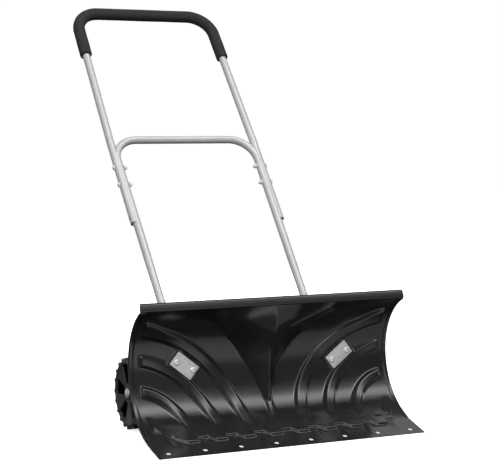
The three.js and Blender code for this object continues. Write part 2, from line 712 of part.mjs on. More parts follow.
add('blade', bladeBody(), bladePlastic);
addPair('clamp_plate', clampPlate(), zinc);
addPair('side_plate', sidePlate(), blackSteel);
add('lower_frame', lowerFrame(), silverTube);
add('upper_handle', upperHandle(), silverTube);
add('foam_grip', foamGrip(), foam);
addPair('leg_plug', legPlug(), plugPlastic);
addRow('blade_bolt', BLADE_BOLTS, bladeBolt, brightZinc);
addRow('blade_nut', BLADE_BOLTS, bladeNut, brightZinc);
addRow('leg_bolt', LEG_BOLTS, legBolt, brightZinc);
addRow('leg_washer', LEG_BOLTS, legWasher, brightZinc);
addRow('leg_nut', LEG_BOLTS, legNut, brightZinc);
addRow('handle_bolt', HANDLE_BOLTS, handleBolt, brightZinc);
addRow('handle_washer', HANDLE_BOLTS, handleWasher, brightZinc);
addRow('handle_nut', HANDLE_BOLTS, handleNut, brightZinc);
add('axle', axleRod(), brightZinc);
addPair('axle_pin', axlePin(), brightZinc);
addPair('axle_spacer', axleSpacer(), brightZinc);
addRow('axle_washer', [SPACER_OUTER_X + GAP, HUB_OUTER_X + GAP], axleWasher, brightZinc);
addPair('axle_cap', axleCap(), brightZinc);
addPair('wheel', wheel(), wheelPlastic);

// The origin is on the floor, under the middle of the footprint.
const box = new THREE.Box3().setFromObject(group);
const middle = box.getCenter(new THREE.Vector3());
group.position.set(-middle.x, -middle.y, -box.min.z);
group.updateMatrixWorld(true);

export default group;
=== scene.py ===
import json
import math

import bpy
import numpy as np
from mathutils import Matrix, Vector

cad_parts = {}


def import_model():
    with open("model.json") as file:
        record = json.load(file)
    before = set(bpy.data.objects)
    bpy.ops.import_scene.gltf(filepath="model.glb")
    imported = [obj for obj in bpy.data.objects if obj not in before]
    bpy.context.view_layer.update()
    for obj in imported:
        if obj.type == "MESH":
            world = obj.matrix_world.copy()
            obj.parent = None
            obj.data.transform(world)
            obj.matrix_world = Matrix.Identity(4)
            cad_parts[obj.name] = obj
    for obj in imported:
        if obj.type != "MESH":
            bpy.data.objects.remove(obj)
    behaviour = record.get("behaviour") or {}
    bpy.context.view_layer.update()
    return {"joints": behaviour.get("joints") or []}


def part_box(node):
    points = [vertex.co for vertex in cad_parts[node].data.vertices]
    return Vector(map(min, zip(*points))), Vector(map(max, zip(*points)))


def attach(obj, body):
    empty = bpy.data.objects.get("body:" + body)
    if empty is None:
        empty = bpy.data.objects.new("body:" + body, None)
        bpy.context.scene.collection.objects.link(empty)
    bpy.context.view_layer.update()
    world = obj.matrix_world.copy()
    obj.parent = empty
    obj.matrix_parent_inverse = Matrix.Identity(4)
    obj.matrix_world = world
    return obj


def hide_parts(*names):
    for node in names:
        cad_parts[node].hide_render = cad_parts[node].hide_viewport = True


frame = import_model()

# Lengths below are millimetres from the lip's front edge, +Z up, unless a name says otherwise;
# metres() turns them into the frame's metres.
MM = 0.001
LIP_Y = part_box("blade")[0].y
HALF_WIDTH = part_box("blade")[1].x / MM
GAP = 0.3
# Radii of the screws and of the holes that they go through.
M6 = 3
M8 = 4
M6_HOLE = 3.3
M8_HOLE = 4.3


def metres(points):
    return np.asarray(points, float) * MM + (0.0, LIP_Y, 0.0)


def millimetres(point):
    """A place in the frame as (x, y, z) from the lip's front edge."""
    return np.array((point[0], point[1] - LIP_Y, point[2])) / MM


def smoothstep(value, low, high):
    t = np.clip((value - low) / (high - low), 0, 1)
    return t * t * (3 - 2 * t)


def soft_ramp(t, softness=0.12):
    """0 below t = 0 and 1 above t = 1, straight between them, with rounded corners."""
    return 0.5 * (np.sqrt(t * t + softness**2) - np.sqrt((t - 1) ** 2 + softness**2) + 1)


# ---- materials ----


class Shader:
    """A node material under construction."""

    def __init__(self, name, **sockets):
        self.material = bpy.data.materials.new(name)
        self.material.use_nodes = True
        self.tree = self.material.node_tree
        self.surface = self.tree.nodes["Principled BSDF"]
        for socket, value in sockets.items():
            self.surface.inputs[socket.replace("_", " ")].default_value = value
        self.place = self.add("ShaderNodeTexCoord").outputs["Object"]

    def add(self, kind, **settings):
        node = self.tree.nodes.new(kind)
        for key, value in settings.items():
            if key in node.inputs:
                node.inputs[key].default_value = value
            else:
                setattr(node, key, value)
        return node

    def link(self, source, target):
        self.tree.links.new(source, target)

    def stretched(self, rotation, scale):
        """Coordinates turned, then scaled along each axis."""
        mapping = self.add("ShaderNodeMapping", Rotation=rotation, Scale=scale)
        self.link(self.place, mapping.inputs["Vector"])
        return mapping.outputs["Vector"]

    def noise(self, scale, detail=4.0, coordinates=None):
        node = self.add("ShaderNodeTexNoise", Scale=scale, Detail=detail)
        self.link(coordinates or self.place, node.inputs["Vector"])
        return node.outputs["Fac"]

    def cells(self, scale):
        node = self.add("ShaderNodeTexVoronoi", Scale=scale)
        self.link(self.place, node.inputs["Vector"])
        return node.outputs["Distance"]

    def ramp(self, value, low, high, start, end):
        """A value ranged from (low, high) to (start, end)."""
        node = self.add("ShaderNodeMapRange")
        for key, number in zip(("From Min", "From Max", "To Min", "To Max"), (low, high, start, end)):
            node.inputs[key].default_value = number
        self.link(value, node.inputs["Value"])
        return node.outputs["Result"]

    def tint(self, value, dark, light):
        """Base colour between two colours as value goes from 0.3 to 0.7."""
        node = self.add("ShaderNodeValToRGB")
        node.color_ramp.elements[0].position = 0.3
        node.color_ramp.elements[1].position = 0.7
        node.color_ramp.elements[0].color = (*dark, 1)
        node.color_ramp.elements[1].color = (*light, 1)
        self.link(value, node.inputs["Fac"])
        self.link(node.outputs["Color"], self.surface.inputs["Base Color"])

    def across(self):
        """The distance from the middle plane, in metres."""
        split = self.add("ShaderNodeSeparateXYZ")
        self.link(self.place, split.inputs["Vector"])
        distance = self.add("ShaderNodeMath", operation="ABSOLUTE")
        self.link(split.outputs["X"], distance.inputs[0])
        return distance.outputs["Value"]

    def shade(self, share):
        """Painted shade: darkens the base colour to a share of itself."""
        scale = self.add("ShaderNodeVectorMath", operation="SCALE")
        self.link(self.surface.inputs["Base Color"].links[0].from_socket, scale.inputs[0])
        self.link(share, scale.inputs["Scale"])
        self.link(scale.outputs["Vector"], self.surface.inputs["Base Color"])

    def gloss(self, value, start, end):
        """Roughness between two levels as value goes from 0.3 to 0.7."""
        self.link(self.ramp(value, 0.3, 0.7, start, end), self.surface.inputs["Roughness"])

    def bump(self, height, strength, distance):
        node = self.add("ShaderNodeBump", Strength=strength, Distance=distance)
        self.link(height, node.inputs["Height"])
        previous = self.surface.inputs["Normal"].links
        if previous:
            self.link(previous[0].from_socket, node.inputs["Normal"])
        self.link(node.outputs["Normal"], self.surface.inputs["Normal"])


def blade_plastic():
    shader = Shader("blade_plastic")
    shader.tint(shader.noise(9.0, 5.0), (0.0132, 0.0130, 0.0127), (0.0164, 0.0162, 0.0157))
    shader.gloss(shader.noise(34.0, 6.0), 0.15, 0.21)
    shader.bump(shader.noise(1400.0, 2.0), 0.03, 0.0001)
    return shader.material


# Painted shade: deeper in than the wheels' outer faces, the base colour falls to black and the
# specular nearly to nothing. The change lies between these distances from the middle plane, in metres.
WHEEL_PAINTED_SHADE = (0.2725, 0.2745)


def wheel_plastic():
    shader = Shader("wheel_plastic")
    shader.tint(shader.noise(30.0), (0.044, 0.044, 0.044), (0.058, 0.058, 0.0575))
    # Painted shade: black base colour and low specular deeper in than the wheel's outer faces.
    inside = shader.ramp(shader.across(), *WHEEL_PAINTED_SHADE, 0.0, 1.0)
    shader.shade(inside)
    shader.link(shader.ramp(inside, 0.0, 1.0, 0.02, 0.4), shader.surface.inputs["Specular IOR Level"])
    shader.gloss(shader.noise(120.0, 6.0), 0.44, 0.58)
    shader.bump(shader.noise(1900.0, 3.0), 0.22, 0.0003)
    return shader.material


def plug_plastic():
    shader = Shader("plug_plastic")
    shader.tint(shader.noise(60.0), (0.02, 0.02, 0.02), (0.03, 0.03, 0.03))
    shader.gloss(shader.noise(200.0), 0.5, 0.62)
    shader.bump(shader.noise(2200.0, 2.0), 0.2, 0.0002)
    return shader.material


def grip_foam():
    shader = Shader("grip_foam", Specular_IOR_Level=0.3)
    shader.tint(shader.noise(260.0, 6.0), (0.016, 0.016, 0.0155), (0.028, 0.028, 0.027))
    shader.gloss(shader.noise(90.0), 0.86, 0.98)
    shader.bump(shader.cells(900.0), 0.55, 0.0006)
    shader.bump(shader.noise(160.0, 5.0), 0.35, 0.0008)
    return shader.material


def silver_tube():
    """Satin tube with faint draw lines along its length."""
    shader = Shader("silver_tube", Metallic=0.12)
    along = shader.stretched((math.radians(40), 0, 0), (900, 900, 12))
    lines = shader.noise(1.0, 3.0, along)
    shader.tint(shader.noise(14.0, 3.0), (0.385, 0.387, 0.390), (0.425, 0.427, 0.430))
    shader.gloss(lines, 0.31, 0.42)
    shader.bump(lines, 0.10, 0.0001)
    return shader.material


def zinc_plate():
    shader = Shader("zinc_plate", Metallic=0.2)
    shader.tint(shader.cells(170.0), (0.59, 0.60, 0.595), (0.65, 0.66, 0.655))
    shader.gloss(shader.noise(300.0, 5.0), 0.3, 0.44)
    shader.bump(shader.noise(1500.0, 3.0), 0.12, 0.0001)
    return shader.material


def zinc_fastener():
    shader = Shader("zinc_fastener", Metallic=0.5)
    shader.tint(shader.noise(220.0), (0.84, 0.84, 0.82), (0.93, 0.93, 0.915))
    shader.gloss(shader.noise(500.0, 5.0), 0.18, 0.32)
    shader.bump(shader.noise(2600.0, 2.0), 0.1, 0.0001)
    return shader.material


def black_steel():
    shader = Shader("black_steel")
    shader.tint(shader.noise(40.0), (0.025, 0.025, 0.026), (0.036, 0.036, 0.037))
    shader.gloss(shader.noise(150.0), 0.38, 0.5)
    shader.bump(shader.noise(700.0, 2.0), 0.25, 0.0003)
    return shader.material


MATERIALS = {
    maker.__name__: maker()
    for maker in (blade_plastic, wheel_plastic, plug_plastic, grip_foam, silver_tube,
                  zinc_plate, zinc_fastener, black_steel)
}

# ---- mesh tools ----
# A shape is a pair: points (n x 3, millimetres) and faces (lists of point numbers).


def facing_out(shape):
    """The shape with its faces turned to point outwards."""
    points, faces = shape
    volume = 0.0
    for face in faces:
        a = points[face[0]]
        for b, c in zip(face[1:-1], face[2:]):
            volume += np.dot(a, np.cross(points[b], points[c]))
    return shape if volume > 0 else (points, [face[::-1] for face in faces])


def loft(rings, closed=False):
    """Joins rings of equally many points; closed joins the last ring to the first."""
    count = len(rings[0])
    points = np.concatenate([np.asarray(ring, float) for ring in rings])
    number = np.arange(len(points)).reshape(len(rings), count)
    following = np.roll(number, -1, axis=0) if closed else number[1:]
    before = number if closed else number[:-1]
    quads = np.stack(
        [before, np.roll(before, -1, axis=1), np.roll(following, -1, axis=1), following], axis=-1)
    faces = quads.reshape(-1, 4).tolist()
    if not closed:
        faces.append(number[0][::-1].tolist())
        faces.append(number[-1].tolist())
    return facing_out((points, faces))


def together(shapes):
    """Several separate shapes as one."""
    points, faces, start = [], [], 0
    for shape_points, shape_faces in shapes:
        points.append(shape_points)
        faces += [[start + i for i in face] for face in shape_faces]
        start += len(shape_points)
    return np.concatenate(points), faces


def mirrored(shape):
    points, faces = shape
    return points * (-1, 1, 1), [face[::-1] for face in faces]


def both_sides(shape):
    return together([shape, mirrored(shape)])


def circle(radius, sides):
    angle = np.arange(sides) * 2 * math.pi / sides
    return np.stack([np.cos(angle), np.sin(angle)], axis=1) * radius


def arc(radius, start, end, count):
    """Points round a flat arc about the origin, between two angles in radians."""
    angle = np.linspace(start, end, count)
    return radius * np.column_stack([np.cos(angle), np.sin(angle)])


def ring_at(radius, height, sides):
    return np.column_stack([circle(radius, sides), np.full(sides, height)])


def turned(profile, sides=48, closed=False):
    """Turns (radius, height) points about the local Z axis."""
    rings = [ring_at(radius, height, sides) for radius, height in profile]
    return loft(rings, closed)


def facing(shape, origin, direction):
    """Moves a local shape so that its Z axis lies along direction from origin."""
    points, faces = shape
    z = np.asarray(direction, float)
    x = np.cross((0, 0, 1), z) if abs(z[2]) < 0.9 else np.array((1.0, 0, 0))
    x = x / np.linalg.norm(x)
    y = np.cross(z, x)
    return np.asarray(origin) + points @ np.array([x, y, z]), faces


def rod(radius, start, end, sides=24):
    """A plain cylinder between two points, for cutting holes."""
    start, end = np.asarray(start, float), np.asarray(end, float)
    length = np.linalg.norm(end - start)
    return facing(turned([(radius, 0), (radius, length)], sides), start, (end - start) / length)


def inset(outline, amount):
    """A counter-clockwise outline moved inwards."""
    edge = np.roll(outline, -1, axis=0) - outline
    edge /= np.linalg.norm(edge, axis=1)[:, None]
    normal = np.column_stack([-edge[:, 1], edge[:, 0]])
    before = np.roll(normal, 1, axis=0)
    middle = before + normal
    scale = 2 / np.maximum((middle**2).sum(axis=1), 0.5)
    return outline + middle * scale[:, None] * amount


def rounded(outline, radius, steps=5):
    """Replaces each sharp corner of an outline by an arc."""
    outline = np.asarray(outline, float)
    points = []
    for before, corner, after in zip(np.roll(outline, 1, axis=0), outline, np.roll(outline, -1, axis=0)):
        inward = before - corner
        outward = after - corner
        room = min(np.linalg.norm(inward), np.linalg.norm(outward)) * 0.49
        inward /= np.linalg.norm(inward)
        outward /= np.linalg.norm(outward)
        half = math.acos(np.clip(inward @ outward, -1, 1)) / 2
        if half > math.radians(75):
            points.append(corner)
            continue
        reach = min(radius / math.tan(half), room)
        start, end = corner + inward * reach, corner + outward * reach
        for t in np.linspace(0, 1, steps + 1):
            points.append((1 - t) ** 2 * start + 2 * t * (1 - t) * corner + t * t * end)
    return np.array(points)


def slab(outline, low, high, chamfer=0.0):
    """A flat local outline between two heights, with its edges bevelled."""
    if not chamfer:
        levels = [(low, 0), (high, 0)]
    else:
        levels = [(low, chamfer), (low + 0.3 * chamfer, 0.3 * chamfer), (low + chamfer, 0),
                  (high - chamfer, 0), (high - 0.3 * chamfer, 0.3 * chamfer), (high, chamfer)]
    rings = [np.column_stack([inset(outline, amount), np.full(len(outline), height)])
             for height, amount in levels]
    return loft(rings)


def sweep_rings(path, radii, normal, sides):
    """Round sections across a flat path; normal is square to the path's plane."""
    path = np.asarray(path, float)
    tangent = np.empty_like(path)
    step = np.diff(path, axis=0)
    step /= np.linalg.norm(step, axis=1)[:, None]
    tangent[0], tangent[-1] = step[0], step[-1]
    tangent[1:-1] = step[:-1] + step[1:]
    tangent /= np.linalg.norm(tangent, axis=1)[:, None]
    side = np.cross(tangent, normal)
    radii = np.broadcast_to(radii, len(path))
    ring = circle(1, sides)
    return [point + radius * (ring[:, :1] * normal + ring[:, 1:] * across)
            for point, across, radius in zip(path, side, radii)]


def sweep(path, radius, normal, sides=48):
    return loft(sweep_rings(path, radius, normal, sides))


def pipe(path, outer, inner, normal, sides=48):
    """An open tube along a path; outer and inner are radii or lists of radii."""
    rings = sweep_rings(path, outer, normal, sides) + sweep_rings(path, inner, normal, sides)[::-1]
    return loft(rings, closed=True)


def fillet_path(corners, radii, step_degrees=4):
    """A path through corner points, each corner rounded by an arc of its radius."""
    corners = [np.asarray(corner, float) for corner in corners]
    path = [corners[0]]
    for before, corner, after, radius in zip(corners, corners[1:], corners[2:], radii):
        inward = (before - corner) / np.linalg.norm(before - corner)
        outward = (after - corner) / np.linalg.norm(after - corner)
        half = math.acos(np.clip(inward @ outward, -1, 1)) / 2
        middle = inward + outward
        centre = corner + middle / np.linalg.norm(middle) * radius / math.sin(half)
        first = corner + inward * radius / math.tan(half) - centre
        turn = math.pi - 2 * half
        count = max(2, round(math.degrees(turn) / step_degrees))
        for i in range(count + 1):
            angle = turn * i / count
            path.append(centre + first * math.cos(angle) - inward * radius * math.sin(angle))
    path.append(corners[-1])
    return np.array(path)


def resampled(path, step):
    """The same path with points a step apart."""
    reach = np.concatenate([[0], np.cumsum(np.linalg.norm(np.diff(path, axis=0), axis=1))])
    places = np.linspace(0, reach[-1], round(reach[-1] / step) + 1)
    return np.column_stack([np.interp(places, reach, path[:, axis]) for axis in range(3)])


def in_scene(name, data):
    """A new object in the scene with the given data."""
    obj = bpy.data.objects.new(name, data)
    bpy.context.scene.collection.objects.link(obj)
    return obj


def new_object(name, shape):
    points, faces = shape
    mesh = bpy.data.meshes.new(name)
    mesh.from_pydata(metres(points).tolist(), [], [list(map(int, face)) for face in faces])
    return in_scene(name, mesh)


def shape_of(obj):
    """Takes a working object's shape back, and removes the object."""
    mesh = obj.data
    points = np.empty(len(mesh.vertices) * 3)
    mesh.vertices.foreach_get("co", points)
    points = (points.reshape(-1, 3) - (0, LIP_Y, 0)) / MM
    faces = [list(polygon.vertices) for polygon in mesh.polygons]
    bpy.data.objects.remove(obj)
    return points, faces


def combine(base, operation, shape):
    """Joins a shape to an object, or cuts it out of it."""
    other = new_object("operand", shape)
    modifier = base.modifiers.new("combine", "BOOLEAN")
    modifier.object = other
    modifier.operation = operation
    modifier.solver = "MANIFOLD"
    evaluated = base.evaluated_get(bpy.context.evaluated_depsgraph_get())
    mesh = bpy.data.meshes.new_from_object(evaluated)
    base.modifiers.clear()
    base.data = mesh
    bpy.data.objects.remove(other)


def piece(name, shape, slot, nodes=None, body="frame", cuts=(), joins=(), sharp=34):
    """A finished piece that stands for CAD nodes, by default the node with its name."""
    obj = shape if isinstance(shape, bpy.types.Object) else new_object(name, shape)
    for other in joins:
        combine(obj, "UNION", other)
    for other in cuts:
        combine(obj, "DIFFERENCE", other)
    obj.name = name + "_visual"
    obj.data.name = obj.name
    obj.data.materials.clear()
    obj.data.materials.append(MATERIALS[slot])
    obj.data.shade_smooth()
    obj.data.set_sharp_from_angle(angle=math.radians(sharp))
    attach(obj, body)
    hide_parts(*(nodes or [name]))
    return obj


def pair(name, shape, slot, number="", **options):
    """The same piece on the right and, mirrored, on the left."""
    mirror = {key: [mirrored(other) for other in options.get(key, ())] for key in ("cuts", "joins")}
    piece(f"{name}_right{number}", shape, slot, **options)
    piece(f"{name}_left{number}", mirrored(shape), slot, **{**options, **mirror})


# ---- blade ----

WALL = 3.6
LIP_EDGE = 1.5
LIP_ANGLE = math.radians(16)
LIP_LENGTH = 70
LOWER_RADIUS = 160
UPPER_RADIUS = 140
CURL_ANGLE = math.radians(66)
RIM_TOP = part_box("blade")[1].z / MM
LOWER_ARC = LOWER_RADIUS * (math.pi / 2 - LIP_ANGLE)
SHEET_LENGTH = LIP_LENGTH + LOWER_ARC + UPPER_RADIUS * CURL_ANGLE

LIP_END_Y = LIP_LENGTH * math.cos(LIP_ANGLE)
LIP_END_Z = LIP_EDGE + LIP_LENGTH * math.sin(LIP_ANGLE)
ARC_Y = LIP_END_Y - LOWER_RADIUS * math.sin(LIP_ANGLE)
ARC_Z = LIP_END_Z + LOWER_RADIUS * math.cos(LIP_ANGLE)


def side_view(distance):
    """The sheet's front face in side view: y, z and the forward normal's y and z."""
    lip = distance <= LIP_LENGTH
    upper = distance > LIP_LENGTH + LOWER_ARC
    angle = np.where(lip, LIP_ANGLE, LIP_ANGLE + (distance - LIP_LENGTH) / LOWER_RADIUS)
    lean = (distance - LIP_LENGTH - LOWER_ARC) / UPPER_RADIUS
    y = np.where(lip, distance * math.cos(LIP_ANGLE), ARC_Y + LOWER_RADIUS * np.sin(angle))
    z = np.where(lip, LIP_EDGE + distance * math.sin(LIP_ANGLE), ARC_Z - LOWER_RADIUS * np.cos(angle))
    y = np.where(upper, ARC_Y + LOWER_RADIUS - UPPER_RADIUS * (1 - np.cos(lean)), y)
    z = np.where(upper, ARC_Z + UPPER_RADIUS * np.sin(lean), z)
    ny = np.where(upper, -np.cos(lean), -np.sin(angle))
    nz = np.where(upper, -np.sin(lean), np.cos(angle))
    return y, z, ny, nz


RIB_HEIGHT = 7.2
RIB_WALL = 5.5
RIB_SOFTNESS = 0.2
# Arcs round the blade's lower corners: centre x and z, foot radii, lowest and highest fade.
RIBS = (
    (327, -3, 45.5, 69.5, 11, 38),
    (327, -3, 107.5, 132.5, 9, 46),
    (350, -30, 204.5, 232.5, 8, 48),
    (350, -30, 271.5, 302.5, 8, 48),
)
RIB_END = 306


def ribs(x, z, thickness=0.0):
    """The ribs' height; a thickness narrows them, for the hollows behind."""
    height = np.zeros_like(x)
    across = np.abs(x)
    for centre_x, centre_z, inner, outer, fade_low, fade_high in RIBS:
        radius = np.hypot(across - centre_x, z - centre_z)
        flare = 8 * smoothstep(across, 240, 300) if inner > 250 else 0
        rise = soft_ramp((radius - inner - thickness) / RIB_WALL, RIB_SOFTNESS)
        fall = soft_ramp((outer + flare - thickness - radius) / RIB_WALL, RIB_SOFTNESS)
        end = soft_ramp((RIB_END - thickness - across) / RIB_WALL, RIB_SOFTNESS)
        foot = soft_ramp((z - fade_low) / (fade_high - fade_low), 0.1)
        height = np.maximum(height, RIB_HEIGHT * rise * fall * end * foot)
    return height


PROW_RADIUS = 328
PROW_FOOT = 10.5
PROW_RIDGE_Y = 142
# Heights between which the ridge turns towards the rim, its foot rises and sinks again, the prow
# grows out of the sheet, its flat ridge narrows and its edges sharpen.
PROW_BEND = (175, 270)
PROW_FOOT_RISE = (28, 60)
PROW_FOOT_FALL = (110, 200)
PROW_GROWTH = (45, 110)
PROW_NARROWING = (80, 135)
PROW_SHARPENING = (80, 200)
RIM_Y = float(side_view(np.array(SHEET_LENGTH))[0])


def prow(x, y, z):
    """How far the prow stands forward along Y, and its steepness."""
    bend = smoothstep(z, *PROW_BEND)
    ridge_y = PROW_RIDGE_Y + (RIM_Y + 1 - PROW_RIDGE_Y) * bend
    foot = RIB_HEIGHT * smoothstep(z, *PROW_FOOT_RISE) * (1 - smoothstep(z, *PROW_FOOT_FALL))
    blend = smoothstep(z, *PROW_GROWTH)
    height = foot + (np.maximum(y - ridge_y, foot) - foot) * blend
    reach = HALF_WIDTH - np.sqrt(PROW_RADIUS**2 - np.minimum(z, PROW_RADIUS - 1) ** 2)
    half = np.maximum(PROW_FOOT, reach)
    flat = 4.5 - 3.5 * smoothstep(z, *PROW_NARROWING)
    softness = 0.07 - 0.045 * smoothstep(z, *PROW_SHARPENING)
    share = soft_ramp((half - np.abs(x)) / (half - flat), softness)
    return height * share, height / (half - flat)


ZIGZAG_PITCH = 68
ZIGZAG_STEPS = [-211 + ZIGZAG_PITCH * i for i in range(8)]
ZIGZAG_LOW = 52.5
ZIGZAG_HIGH = 67.5
ZIGZAG_HEIGHT = 6.6
ZIGZAG_WALL = 3.4
# Each step is level for one length and back down after the other.
ZIGZAG_LEVEL = 22
ZIGZAG_RAMP = 36
# Recesses in the stepped area: low and high X, low and high distance up the sheet.
ZIGZAG_NOTCHES = ((243, 262, 84, 92), (270, 284, 84, 94))


def zigzag_line():
    """The stepped edge as corner points: place along X and distance up the sheet."""
    line = [(-312, 170), (-306, 140), (-300, 112), (-277, 82), (-247, 56), (-243, ZIGZAG_LOW)]
    for step in ZIGZAG_STEPS[:-1]:
        line += [(step, ZIGZAG_LOW), (step, ZIGZAG_HIGH), (step + ZIGZAG_LEVEL, ZIGZAG_HIGH),
                 (step + ZIGZAG_RAMP, ZIGZAG_LOW)]
    last, end = ZIGZAG_STEPS[-1], ZIGZAG_STEPS[-1] + ZIGZAG_LEVEL
    line += [(last, ZIGZAG_LOW), (last, ZIGZAG_HIGH), (end, ZIGZAG_HIGH), (end, 118)]
    return np.array(line, float)


def zigzag(x, distance):
    """The height of the stepped area above the zigzag edge."""
    line = zigzag_line()
    gap = np.full(x.shape, 1e9)
    inside = np.zeros(x.shape, bool)
    for (x0, s0), (x1, s1) in zip(line[:-1], line[1:]):
        dx, ds = x1 - x0, s1 - s0
        t = np.clip(((x - x0) * dx + (distance - s0) * ds) / (dx * dx + ds * ds), 0, 1)
        gap = np.minimum(gap, np.hypot(x - x0 - t * dx, distance - s0 - t * ds))
        if dx:
            within = (x >= min(x0, x1)) & (x < max(x0, x1))
            inside |= within & (distance > s0 + ds / dx * (x - x0))
    signed = np.where(inside, gap, -gap)
    fade = 1 - smoothstep(distance, 84, 150)
    height = ZIGZAG_HEIGHT * soft_ramp(signed / ZIGZAG_WALL, 0.22) * fade
    for low_x, high_x, low_s, high_s in ZIGZAG_NOTCHES:
        notch = soft_ramp((x - low_x) / 2) * soft_ramp((high_x - x) / 2)
        notch = notch * soft_ramp((distance - low_s) / 8) * soft_ramp((high_s - distance) / 1.6)
        height = height * (1 - notch)
    # A low outline of a small upright rectangle beside the edge's left end.
    frame_gap = np.maximum(np.abs(x + 268) - 5.5, np.abs(distance - 74) - 7)
    return height + 1.6 * soft_ramp((1.4 - np.abs(frame_gap)) / 1.0) * (distance < 90)


def end_bead(x, distance):
    """A low bead along each end of the blade, with its outer edge rounded."""
    across = np.abs(x)
    bead = 2.5 * soft_ramp((across - 319.5) / 2.2) * smoothstep(distance, 70, 100)
    edge = np.clip((across - HALF_WIDTH + 1.6) / 1.6, 0, 1)
    return bead - 1.1 * edge**2


PLATE_CENTRE = np.array((198, 166.5))
PLATE_TILT = math.atan2(HALF_WIDTH - PLATE_CENTRE[0], PLATE_CENTRE[1])
PAD_HALF = np.array((37, 23))
PAD_CORNER = 6
PAD_FRONT_Y = 177.4
PAD_BACK_Y = 188.4
PAD_DRAFT = 2.4


def pad_gap(x, z):
    """Distance outside the nearer mounting pad's outline."""
    dx, dz = np.abs(x) - PLATE_CENTRE[0], z - PLATE_CENTRE[1]
    u = dx * math.cos(PLATE_TILT) + dz * math.sin(PLATE_TILT)
    v = -dx * math.sin(PLATE_TILT) + dz * math.cos(PLATE_TILT)
    side_u = np.maximum(np.abs(u) - PAD_HALF[0] + PAD_CORNER, 0)
    side_v = np.maximum(np.abs(v) - PAD_HALF[1] + PAD_CORNER, 0)
    return np.maximum(np.hypot(side_u, side_v) - PAD_CORNER, 0)


BLADE_BOLTS = np.array(((217, 175.5), (178, 155)))
LIP_HOLE_PITCH = 86
LIP_HOLES = [LIP_HOLE_PITCH * (i - 3.5) for i in range(8)]
LIP_HOLE_SETBACK = 20
LIP_HOLE_RADIUS = 5.5


def blade_front(x, distance):
    y, z, ny, nz = side_view(distance)
    rise, _ = prow(x, y, z)
    raised = np.maximum(ribs(x, z), zigzag(x, distance)) + end_bead(x, distance)
    front_y = y - rise + raised * ny
    front_z = z + raised * nz
    pad_y = PAD_FRONT_Y + PAD_DRAFT * pad_gap(x, z)
    front_y = -np.logaddexp(-front_y / 0.35, -pad_y / 0.35) * 0.35
    return front_y, front_z


def blade_back(x, distance):
    y, z, ny, nz = side_view(distance)
    rise, slope = prow(x, y, z)
    depth = WALL * np.minimum(np.hypot(1, slope * (rise > 0.5)), 1.8)
    depth = depth * (0.45 + 0.55 * smoothstep(distance, 24, 44))
    hollow = ribs(x, z, WALL) - depth
    back_y = y - rise + hollow * ny
    back_z = np.maximum(z + hollow * nz, 0)
    pad_y = PAD_BACK_Y - PAD_DRAFT * pad_gap(x, z)
    return np.maximum(back_y, pad_y), back_z


RIM_CORNER = 4.5
RIM_ROUND = 6.5
RIM_SHOULDER = 1.6
RIM_THICKNESS = 8.0
RIM_LEAN = math.radians(26)
SHEET_END = SHEET_LENGTH - 2.4


def rim_sides():
    """The flange along the blade's top: its front and back faces in side view."""
    y, z, ny, nz = (float(value) for value in side_view(np.array(SHEET_END)))
    corner = (y - RIM_CORNER * ny, z - RIM_CORNER * nz)
    start = math.atan2(nz, ny) % (2 * math.pi)
    face = math.pi - RIM_LEAN
    lower = corner + arc(RIM_CORNER, start, face, 6)
    top_z = RIM_TOP - RIM_ROUND
    climb = top_z - corner[1]
    widening = (RIM_ROUND - RIM_CORNER) / math.cos(RIM_LEAN)
    top_y = corner[0] + climb * math.tan(RIM_LEAN) + widening
    upper = (top_y, top_z) + arc(RIM_ROUND, face, math.pi / 2, 6)
    front = np.concatenate([lower, upper])
    back_y = front[0, 0] + RIM_THICKNESS + 1.5
    shoulder = (back_y - RIM_SHOULDER, RIM_TOP - RIM_SHOULDER)
    top = shoulder + arc(RIM_SHOULDER, 0, math.pi / 2, 4)
    foot = np.column_stack([np.full(8, back_y), np.linspace(z + 2.5, RIM_TOP - 5, 8)])
    return front, np.concatenate([foot, top])


def blade_grid():
    """Columns along X and rows up the sheet, closer together where there is detail."""
    columns = np.arange(-HALF_WIDTH, HALF_WIDTH + 0.1, 2.2)
    extra = []
    for step in ZIGZAG_STEPS:
        extra += [step - 1.1, step, step + 1.1]
    for side in (-HALF_WIDTH, HALF_WIDTH):
        extra += [side * (1 - offset / HALF_WIDTH) for offset in (0.0, 0.5, 1.1, 8.3, 9.4, 10.5)]
    extra.append(0.0)
    keep = [x for x in columns if min(abs(x - other) for other in extra) > 0.6]
    columns = np.array(sorted(set(keep + extra)))
    rows = np.concatenate([
        np.linspace(0, 44, 21)[:-1], np.linspace(44, 96, 44)[:-1], np.linspace(96, SHEET_END, 153)])
    return columns, rows


def grid_solid(front, back):
    """Closes two equal grids of points (rows x columns x 3) into one body."""
    rows, columns, _ = front.shape
    number = np.arange(rows * columns).reshape(rows, columns)
    a, b, c, d = number[:-1, :-1], number[:-1, 1:], number[1:, 1:], number[1:, :-1]
    quads = np.stack([a, b, c, d], axis=-1).reshape(-1, 4)
    loop = np.concatenate([number[0, :-1], number[:-1, -1], number[-1, :0:-1], number[:0:-1, 0]])
    ahead = np.roll(loop, -1)
    count = rows * columns
    walls = np.column_stack([ahead, loop, loop + count, ahead + count])
    faces = np.concatenate([quads, quads[:, ::-1] + count, walls])
    return np.concatenate([front.reshape(-1, 3), back.reshape(-1, 3)]), faces


def quad_object(name, points, faces):
    """A mesh object from arrays, for the large grids."""
    mesh = bpy.data.meshes.new(name)
    mesh.vertices.add(len(points))
    mesh.vertices.foreach_set("co", metres(points).astype(np.float32).ravel())
    mesh.loops.add(faces.size)
    mesh.loops.foreach_set("vertex_index", faces.astype(np.int32).ravel())
    mesh.polygons.add(len(faces))
    mesh.polygons.foreach_set("loop_start", np.arange(0, faces.size, 4, dtype=np.int32))
    mesh.update(calc_edges=True)
    return in_scene(name, mesh)


